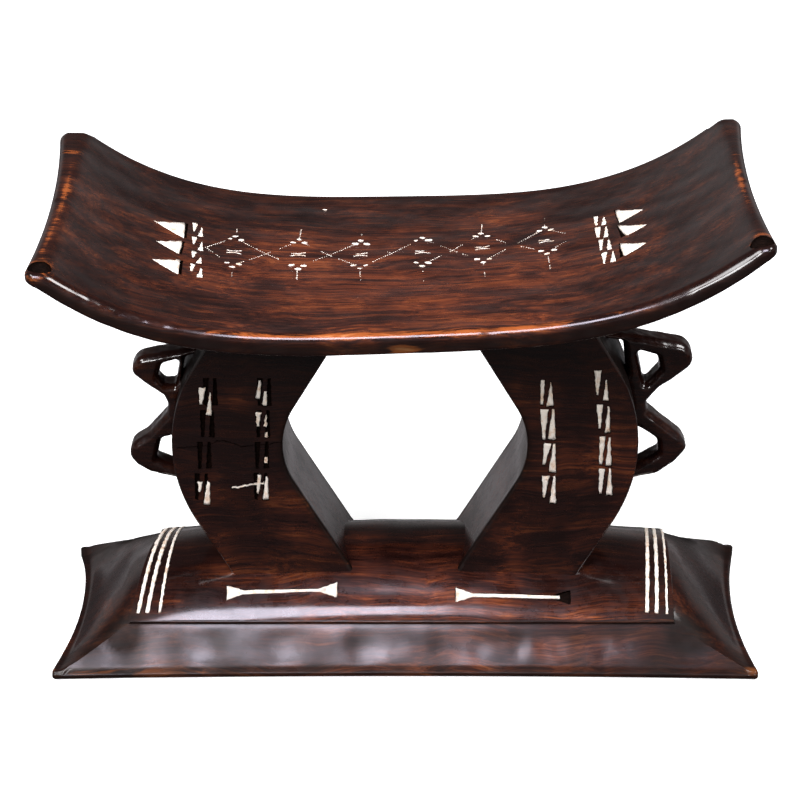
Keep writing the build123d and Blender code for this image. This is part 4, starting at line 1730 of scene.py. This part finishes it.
    def build(self) -> bpy.types.Object:
        """The base with its carving cut, in its finish.

        Returns:
            The dressed base.
        """
        body = self.body()
        body.data.materials.append(WOOD.material())
        for side in Side:
            row = ChipRow(f"base_{side.word}_stripe", self.stripes(side), self, 31 + side.value, 73)
            row.carve(body)
            dress(row.clay(), f"base_{side.word}_stripe_clay")
        for face in Face:
            chips, empty = self.bars(face)
            row = ChipRow(f"base_{face.word}_bar", chips, self, 41 + face.value, empty=empty)
            row.carve(body)
            dress(row.clay(), f"base_{face.word}_bar_clay")
        self.wear(body)
        body.data.set_sharp_from_angle(angle=math.radians(50))
        dress(body, "base")
        return body


# ---- pillars -------------------------------------------------------------------------------------


@dataclass
class PillarFace:
    """Front or back face of a pillar, for patterns given as (x, height)."""

    face: Face
    half: float

    def wrap(self, flat: Array) -> Array:
        """Places on the face of flat points (x, z, height over the face)."""
        return np.stack([flat[..., 0], self.face.value * (self.half + flat[..., 2]), flat[..., 1]], -1)


@dataclass
class Pillar:
    """One crescent pillar."""

    side: Side
    seat: Seat
    base: Base
    depth: float = 82.0
    lean: float = 30.5
    knee: float = 167.0
    inner: float = 102.0
    inner_round: float = 62.0
    outer: float = 196.5
    outer_round: float = 130.0
    edge: float = 3.0
    width: float = 84.0
    ladder_middle: float = 173.5
    ladder_pitch: float = 26.5
    facets: BladeWork = BladeWork(0.5, 46.0, 23)

    def bow(self, z: Array, reach: float, radius: float) -> Array:
        """Distance from the middle of a face whose knee is rounded to a radius.

        Args:
            z: Heights over the floor.
            reach: Distance of the sharp knee from the middle.
            radius: Radius that rounds the knee.

        Returns:
            Distances from the stool's middle.
        """
        lean = math.radians(self.lean)
        away = np.abs(z - self.knee)
        straight = reach - away * math.tan(lean)
        inside = np.sqrt(np.maximum(radius**2 - away**2, 0))
        curved = reach - radius / math.cos(lean) + inside
        return np.where(away > radius * math.sin(lean), straight, curved)

    def body(self) -> bpy.types.Object:
        """The uncut pillar.

        Returns:
            The pillar as one closed object.
        """
        half = self.width / 2
        v = (graded((0, 0.4, 1.1, 2.2, 3.6, 5.5), half, 3.2) / half + 1) / 2
        t = np.linspace(0, 1, 84)
        heights, across = np.meshgrid(t, v, indexing="ij")
        faces = []
        for sign in (-1, 1):
            y = np.full(heights.shape, sign * self.depth / 2)
            z = mix(60.0, 290.0, heights)
            for _ in range(4):
                x = mix(
                    self.bow(z, self.inner, self.inner_round), self.bow(z, self.outer, self.outer_round),
                    across
                )
                low = self.base.vault(self.side.value * x, y) - 2.0
                high = self.seat.underside(self.side.value * x, y) + 2.5
                z = mix(low, high, heights)
            near = (
                np.minimum(across, 1 - across)
                * (self.bow(z, self.outer, self.outer_round) - self.bow(z, self.inner, self.inner_round))
                * 0.86
            )
            place = np.stack([self.side.value * x, y, z], -1)
            drop = round_off(near, self.edge) + self.facets.at(place)
            flare = 1.4 * bell(z - low - 1.5, 2.0)
            faces.append(np.stack([self.side.value * x, sign * (self.depth / 2 - drop + flare), z], -1))
        levels = np.linspace(0, 1, 22)[1:-1]
        obj = slab(f"{self.side.word}_pillar_wood", faces[0], faces[1], levels)
        points = points_of(obj)
        side_on = np.abs(points[:, 1]) < self.depth / 2 - self.edge - 1
        shift = self.facets.at(points + 90) * side_on
        middle = (
            (self.inner + self.outer) / 2 - np.abs(points[:, 2] - self.knee)
            * math.tan(math.radians(self.lean))
        )
        points[:, 0] -= np.sign(np.abs(points[:, 0]) - middle) * self.side.value * shift
        move_points(obj, points)
        return obj

    def ladders(self) -> list[Chip]:
        """Chips of the two ladders, laid out flat as (x, height).

        Returns:
            Two chips for each rung.
        """
        chips = []
        for spread, slant in ((107.0, 0.09), (149.5, 0.11)):
            for number in range(4):
                z = self.ladder_middle + (number - 1.5) * self.ladder_pitch
                x = (
                    self.side.value
                    * (spread - (z - self.ladder_middle) * slant * (0.6 if spread < 120 else 1.0))
                )
                chips.append(Chip((x - 3.1, z), 0.0, 4.6, 23.0, 1.8, 1.0))
                chips.append(Chip((x + 3.1, z), 180.0, 4.6, 23.0, 1.8, 1.0))
        return chips

    def clay(self) -> list[Chip]:
        """Pieces of clay that are left on a face.

        Each row gives the middle of a piece's wide end and of its narrow end, as (x, height), and the
        widths of both ends.

        Returns:
            One chip for each piece.
        """
        if self.side is Side.RIGHT:
            pieces = (
                (102.4, 222.6, 102.1, 202.3, 2.6, 1.8), (104.2, 198.4, 104.1, 173.3, 5.7, 1.7),
                (107.0, 169.8, 104.6, 151.9, 5.1, 1.5), (106.3, 142.3, 105.2, 124.1, 5.1, 1.5),
                (108.2, 201.4, 108.6, 220.5, 5.0, 0.9), (110.2, 173.6, 110.9, 198.4, 5.5, 1.4),
                (111.3, 145.8, 112.2, 169.4, 5.1, 1.2), (112.1, 119.5, 112.8, 142.3, 4.7, 1.4),
                (143.2, 230.4, 143.4, 210.6, 5.1, 1.1), (145.5, 202.3, 145.9, 182.4, 4.4, 1.5),
                (148.2, 175.7, 147.5, 152.5, 4.0, 2.0), (148.5, 148.6, 147.9, 127.8, 4.1, 1.7),
                (149.8, 206.0, 149.7, 222.6, 3.8, 0.8), (151.9, 179.3, 152.1, 200.5, 3.7, 1.1),
                (153.5, 151.5, 153.6, 175.0, 4.3, 1.2), (154.7, 126.3, 154.6, 148.6, 4.6, 1.2),
            )
        else:
            pieces = (
                (-151.4, 216.1, -152.5, 202.8, 4.8, 1.7), (-146.9, 193.9, -145.4, 212.2, 3.7, 0.7),
                (-154.9, 137.3, -155.4, 129.2, 3.4, 1.1), (-150.4, 118.3, -148.6, 137.3, 4.7, 1.7),
                (-110.0, 207.8, -107.9, 221.9, 3.2, 1.5), (-104.9, 201.9, -104.1, 213.6, 3.2, 1.7),
                (-109.7, 195.6, -110.4, 184.2, 3.8, 1.4), (-104.7, 184.2, -104.1, 193.5, 2.1, 0.8),
                (-104.2, 175.4, -104.2, 178.6, 2.0, 1.5), (-104.9, 153.6, -104.8, 157.8, 2.3, 1.8),
                (-109.9, 143.0, -111.5, 127.8, 2.4, 1.4), (-105.6, 122.6, -104.4, 141.1, 4.0, 1.5),
            )
        return [wedge(*piece) for piece in pieces]

    def empty(self, face: Face) -> list[Chip]:
        """Cells of the ladders that lost all their clay, and the crack on the left pillar's front.

        Args:
            face: The front or the back.

        Returns:
            Chips of the bare recesses.
        """
        if self.side is Side.RIGHT:
            return []
        cells = [replace(c, width=c.width - 1.4, length=c.length - 1.5, layer=1) for c in self.ladders()]
        if face is Face.BACK:
            return cells
        crack = (
            (-171.0, 166.3), (-157.9, 167.4), (-147.8, 168.8), (-141.5, 172.3), (-136.4, 172.6),
            (-127.8, 170.0), (-122.8, 167.6), (-112.8, 168.8), (-101.5, 169.8), (-92.9, 171.2)
        )
        return cells + stroke(crack, -0.5, 2)

    def scratch(self) -> list[Chip]:
        """A fresh scratch low on the left pillar's front."""
        return stroke(
            ((-130.9, 132.6), (-126.1, 132.9), (-121.0, 134.5), (-112.2, 135.5), (-106.5, 136.6)), 1.1, 4
        )

    def wear(self, body: bpy.types.Object) -> None:
        """Marks where the pillar is worn and rubbed thin, and where shade is painted on it.

        Args:
            body: The carved piece.
        """
        points = points_of(body)
        x, y, z = np.abs(points[:, 0]), points[:, 1], points[:, 2]
        rim = np.minimum(
            np.abs(x - self.bow(z, self.outer, self.outer_round)),
            np.abs(x - self.bow(z, self.inner, self.inner_round))
        )
        edge = bell(rim, 3.0) * bell(self.depth / 2 - np.abs(y), 4.0) * 0.35
        # Painted shade just under the seat.
        shade_under_seat = bell(z - self.seat.underside(points[:, 0], y), 7.0)
        mark(body, "worn", edge * np.clip((215 - z) / 60, 0, 1))
        inner = (
            bell(x - self.bow(z, self.inner, self.inner_round), 3.5) * (self.depth / 2 - np.abs(y) < 6)
            * (z < 200)
        )
        outer = bell(x - self.bow(z, self.outer, self.outer_round), 3.0) * (np.abs(y) < self.depth / 2 - 2)
        # Painted shade, darker and duller, under the seat, along the inner edges below 200 mm and over the
        # outer side face.
        mark(body, "soot_and_shade", np.maximum.reduce([0.7 * shade_under_seat, 0.8 * inner, 0.95 * outer]))
        foot = np.clip((165 - z) / 60, 0, 1)
        patch = (
            spot(points[:, [0, 2]], (-118.0, 205.0), (16.0, 10.0))
            + spot(points[:, [0, 2]], (-90.0, 190.0), (9.0, 9.0))
        )
        if self.side is Side.LEFT:
            mark(body, "thin", 0.26 * foot + 0.25 * patch)
        else:
            mark(body, "thin", 0.04 + 0.26 * np.clip((230 - z) / 60, 0, 1))

    def build(self) -> bpy.types.Object:
        """The pillar with its carving cut, in its finish.

        Returns:
            The dressed pillar.
        """
        body = self.body()
        body.data.materials.append(WOOD.material())
        for face in Face:
            name = f"{self.side.word}_pillar_{face.word}"
            chips = self.clay() + (self.scratch() if self.side is Side.LEFT and face is Face.FRONT else [])
            row = ChipRow(
                name, chips, PillarFace(face, self.depth / 2 - 0.2), 51 + face.value + 5 * self.side.value,
                empty=self.empty(face)
            )
            row.carve(body)
            dress(row.clay(), f"{name}_clay")
        self.wear(body)
        body.data.set_sharp_from_angle(angle=math.radians(50))
        dress(body, f"{self.side.word}_pillar")
        return body


# ---- side loops ----------------------------------------------------------------------------------


@dataclass
class SideLoops:
    """The openwork loops on the outer face of one pillar."""

    pillar: Pillar
    root_top: float
    corners: tuple[tuple[float, float, float], ...]
    openings: tuple[tuple[tuple[float, float], ...], ...]
    depth: float = 25.0
    root_bottom: float = 121.0
    sunk: float = 5.0
    voxel: float = 1.0
    thinned_over: float = 5.5
    thinned_by: float = 0.42

    def face_at(self, z: float) -> float:
        """Distance from the stool's middle to the pillar's outer face."""
        return float(self.pillar.bow(np.array(z), self.pillar.outer, self.pillar.outer_round))

    def outline(self) -> list[tuple[float, float, float]]:
        """Corners of the outer outline, closed inside the pillar.

        Returns:
            Distance out, height and corner radius of each corner.
        """
        top, bottom = self.root_top, self.root_bottom
        heights = (top, bottom, *np.linspace(bottom + 3, top - 3, 9))
        upper, lower, *inner = [(self.face_at(z) - self.sunk, z, 0.0) for z in heights]
        return [upper, *self.corners, lower, *inner]

    def rounded(self, corners: Sequence[tuple[float, float, float]]) -> list[tuple[float, float]]:
        """Closed line through corners, each rounded to its radius.

        Args:
            corners: Distance out, height and radius of each corner.

        Returns:
            Points (distance out, height).
        """
        line = []
        count = len(corners)
        for i in range(count):
            here = np.array(corners[i][:2])
            before = np.array(corners[i - 1][:2]) - here
            after = np.array(corners[(i + 1) % count][:2]) - here
            room = 0.48 * min(np.linalg.norm(before), np.linalg.norm(after))
            before, after = before / np.linalg.norm(before), after / np.linalg.norm(after)
            half = math.acos(float(np.clip(before @ after, -1, 1))) / 2
            radius = min(corners[i][2], room * math.tan(half))
            if radius < 0.05:
                line.append(tuple(here))
                continue
            reach = radius / math.tan(half)
            start, end = here + before * reach, here + after * reach
            for share in np.linspace(0, 1, 9):
                line.append(tuple(mix(mix(start, here, share), mix(here, end, share), share)))
        return line

    def block(self, name: str, line: Sequence[tuple[float, float]], half: float) -> bpy.types.Object:
        """Closed block with a given outline, as thick as twice its half.

        Args:
            name: Name of the object.
            line: Its outline, as points (distance out, height).
            half: Half of its thickness.

        Returns:
            The closed object.
        """
        sign = self.pillar.side.value
        flat = line if sign > 0 else line[::-1]
        count = len(flat)
        points = np.array([(sign * x, y, z) for y in (-half, half) for x, z in flat])
        sides = [[i, i + count, (i + 1) % count + count, (i + 1) % count] for i in range(count)]
        return new_object(
            name, points, [list(range(count)), list(range(2 * count - 1, count - 1, -1)), *sides]
        )

    def build(self) -> bpy.types.Object:
        """The loops, in their finish.

        Returns:
            The dressed loops.
        """
        lines = [
            self.rounded(self.outline()),
            *(self.rounded([(x, z, 2.0) for x, z in opening]) for opening in self.openings)
        ]
        obj = self.block(f"{self.pillar.side.word}_loops_wood", lines[0], self.depth / 2)
        for line in lines[1:]:
            cut(obj, self.block("loop_opening", line, self.depth))
        remesh = obj.modifiers.new("even", "REMESH")
        remesh.mode = "VOXEL"
        remesh.voxel_size = self.voxel * MM
        smooth = obj.modifiers.new("soft", "SMOOTH")
        smooth.factor = 0.5
        smooth.iterations = 16
        as_plain(obj)
        points = points_of(obj)
        normals = np.empty(len(points) * 3, np.float32)
        obj.data.vertices.foreach_get("normal", normals)
        normals = normals.reshape(-1, 3)
        starts = np.concatenate([np.array(line) for line in lines])
        spans = np.concatenate([np.roll(line, -1, 0) for line in lines]) - starts
        near = []
        for place in np.stack([np.abs(points[:, 0]), points[:, 2]], -1):
            share = np.clip(((place - starts) * spans).sum(-1) / (spans**2).sum(-1), 0, 1)
            near.append(np.min(np.hypot(*(starts + spans * share[:, None] - place).T)))
        points[:, 1] *= 1 - self.thinned_by * (1 - np.clip(np.array(near) / self.thinned_over, 0, 1)) ** 2
        points -= normals * (
            BladeWork(0.5, 16.0, 61).at(points) + BladeWork(0.3, 7.0, 62).at(points)
        )[:, None]
        move_points(obj, points)
        obj.data.shade_smooth()
        obj.data.materials.clear()
        obj.data.materials.append(WOOD.material())
        # Painted shade under the seat's overhang: the loops take the stain colour all over, darker than the
        # pillars, and the walls round their outline and openings are darkened and dulled a little.
        depth_in = np.clip((self.depth / 2 - np.abs(points[:, 1])) / 4, 0, 1)
        mark(obj, "worn", 0.08 * (1 - depth_in))
        mark(obj, "soot_and_shade", 0.12 * depth_in)
        mark(obj, "thin", -0.3 * np.ones(len(points)))
        dress(obj, f"{self.pillar.side.word}_side_loops")
        return obj


LOOP_CORNERS = {
    Side.LEFT: (
        (165.5, 234.0, 12), (202.0, 227.0, 12), (208.5, 214.5, 12), (195.0, 203.0, 12), (183.0, 194.0, 4),
        (180.0, 187.0, 3), (181.0, 180.0, 3), (196.5, 162.0, 14), (208.5, 154.0, 10), (211.5, 143.5, 10),
        (205.0, 135.5, 10), (195.0, 129.0, 12),
    ),
    Side.RIGHT: (
        (175.5, 244.5, 12), (213.5, 237.5, 14), (219.0, 222.0, 12), (202.5, 207.5, 12), (192.5, 201.0, 5),
        (183.5, 189.5, 3), (184.5, 182.5, 3), (211.0, 160.5, 8), (216.0, 150.5, 6), (206.5, 138.0, 12),
        (193.5, 128.0, 12),
    ),
}
LOOP_OPENINGS = {
    Side.LEFT: (
        ((152.0, 231.0), (165.5, 226.5), (168.0, 208.0), (158.0, 202.0)),
        ((170.0, 224.5), (183.5, 220.5), (186.5, 210.0), (181.5, 204.0), (173.5, 204.5)),
        ((168.0, 162.5), (185.0, 158.5), (190.0, 141.5), (168.0, 131.0)),
    ),
    Side.RIGHT: (
        ((148.0, 241.5), (163.5, 240.0), (166.5, 214.0), (160.0, 206.0)),
        ((175.0, 232.0), (190.0, 227.5), (192.0, 217.0), (181.0, 204.0)),
        ((168.0, 173.5), (192.0, 158.0), (193.5, 147.0), (168.0, 131.0)),
    ),
}
LOOP_ROOTS = {Side.LEFT: 237.5, Side.RIGHT: 250.0}


# ---- studio --------------------------------------------------------------------------------------


@dataclass(frozen=True)
class SoftBox:
    """One soft lamp."""

    name: str
    place: tuple[float, float, float]
    target: tuple[float, float, float]
    width: float
    height: float
    watts: float
    tint: str = "#ffffff"

    def hang(self) -> None:
        """Puts the lamp in the scene."""
        lamp = bpy.data.lights.new(self.name, "AREA")
        lamp.shape = "RECTANGLE"
        lamp.size = self.width
        lamp.size_y = self.height
        lamp.energy = self.watts
        lamp.color = linear(self.tint)[:3]
        obj = bpy.data.objects.new(self.name, lamp)
        obj.location = self.place
        obj.rotation_euler = (Vector(self.target) - Vector(self.place)).to_track_quat("-Z", "Y").to_euler()
        bpy.context.scene.collection.objects.link(obj)


@dataclass(frozen=True)
class Studio:
    """Pale floor, soft lamps and the camera."""

    camera_place: tuple[float, float, float] = (-0.0038, -2.0861, 1.2042)
    camera_lean: float = 64.0
    lens: float = 137.25
    floor_size: float = 12.0
    lamps: tuple[SoftBox, ...] = (
        SoftBox("overhead_softbox", (-0.2, -1.13, 1.95), (-0.19, 0.0, 0.1), 0.5, 0.78, 23.0, "#f3edff"),
        SoftBox("front_key_softbox", (-0.95, -1.75, 1.5), (0.0, 0.0, 0.2), 0.6, 0.6, 33.0),
        SoftBox("front_fill_softbox", (1.3, -1.8, 1.15), (0.0, 0.0, 0.2), 0.5, 0.5, 12.0),
        SoftBox("left_key_softbox", (-1.12, -0.62, 1.76), (0.0, 0.0, 0.25), 1.1, 0.6, 30.0),
        SoftBox("right_key_softbox", (1.2, -0.3, 1.72), (0.0, 0.0, 0.25), 0.75, 0.75, 30.0),
    )
    horizon: float = 0.23
    ceiling: float = 0.05

    def floor(self) -> bpy.types.Object:
        """Pale floor under the stool.

        Returns:
            The floor.
        """
        half = self.floor_size / 2 / MM
        corners = np.array([(-half, -half, 0), (half, -half, 0), (half, half, 0), (-half, half, 0)])
        obj = new_object("studio_floor", corners, [(0, 1, 2, 3)])
        obj.data.materials.append(PaintedFloor().material())
        return obj

    def world(self) -> None:
        """White to the camera; a dim room whose pale walls end low over the floor to all else."""
        world = bpy.data.worlds.new("studio_world")
        world.use_nodes = True
        tree = world.node_tree
        tree.nodes.clear()
        seen = add_node(tree, "ShaderNodeLightPath").outputs["Is Camera Ray"]
        way = add_node(tree, "ShaderNodeTexCoord").outputs["Generated"]
        up = add_node(tree, "ShaderNodeSeparateXYZ", {0: way}).outputs["Z"]
        level = spread(tree, up, 0.12, 0.42, self.horizon, self.ceiling)
        room = add_node(tree, "ShaderNodeBackground", {"Color": linear("#ffffff"), "Strength": level})
        white = add_node(tree, "ShaderNodeBackground", {"Color": linear("#ffffff"), "Strength": 1.0})
        both = add_node(tree, "ShaderNodeMixShader", {0: seen, 1: room.outputs[0], 2: white.outputs[0]})
        add_node(tree, "ShaderNodeOutputWorld", {"Surface": both.outputs[0]})
        bpy.context.scene.world = world

    def camera(self) -> None:
        """Camera at the stool's front, a little above it."""
        data = bpy.data.cameras.new("studio_camera")
        data.lens = self.lens
        data.sensor_width = 36.0
        obj = bpy.data.objects.new("studio_camera", data)
        obj.location = self.camera_place
        obj.rotation_euler = (math.radians(self.camera_lean), 0, 0)
        bpy.context.scene.collection.objects.link(obj)
        bpy.context.scene.camera = obj

    def build(self) -> None:
        """Sets the whole studio up."""
        self.floor()
        self.world()
        for lamp in self.lamps:
            lamp.hang()
        self.camera()
        bpy.context.scene.view_settings.view_transform = "Standard"


def main() -> None:
    """Builds the stool and its studio, piece by piece."""
    logging.basicConfig(level=logging.INFO, format="%(message)s")
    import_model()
    seat = Seat()
    base = Base()
    seat.build()
    base.build()
    for side in Side:
        pillar = Pillar(side, seat, base)
        pillar.build()
        SideLoops(pillar, LOOP_ROOTS[side], LOOP_CORNERS[side], LOOP_OPENINGS[side]).build()
    Studio().build()
    bpy.context.view_layer.update()


if __name__ == "__main__":
    main()
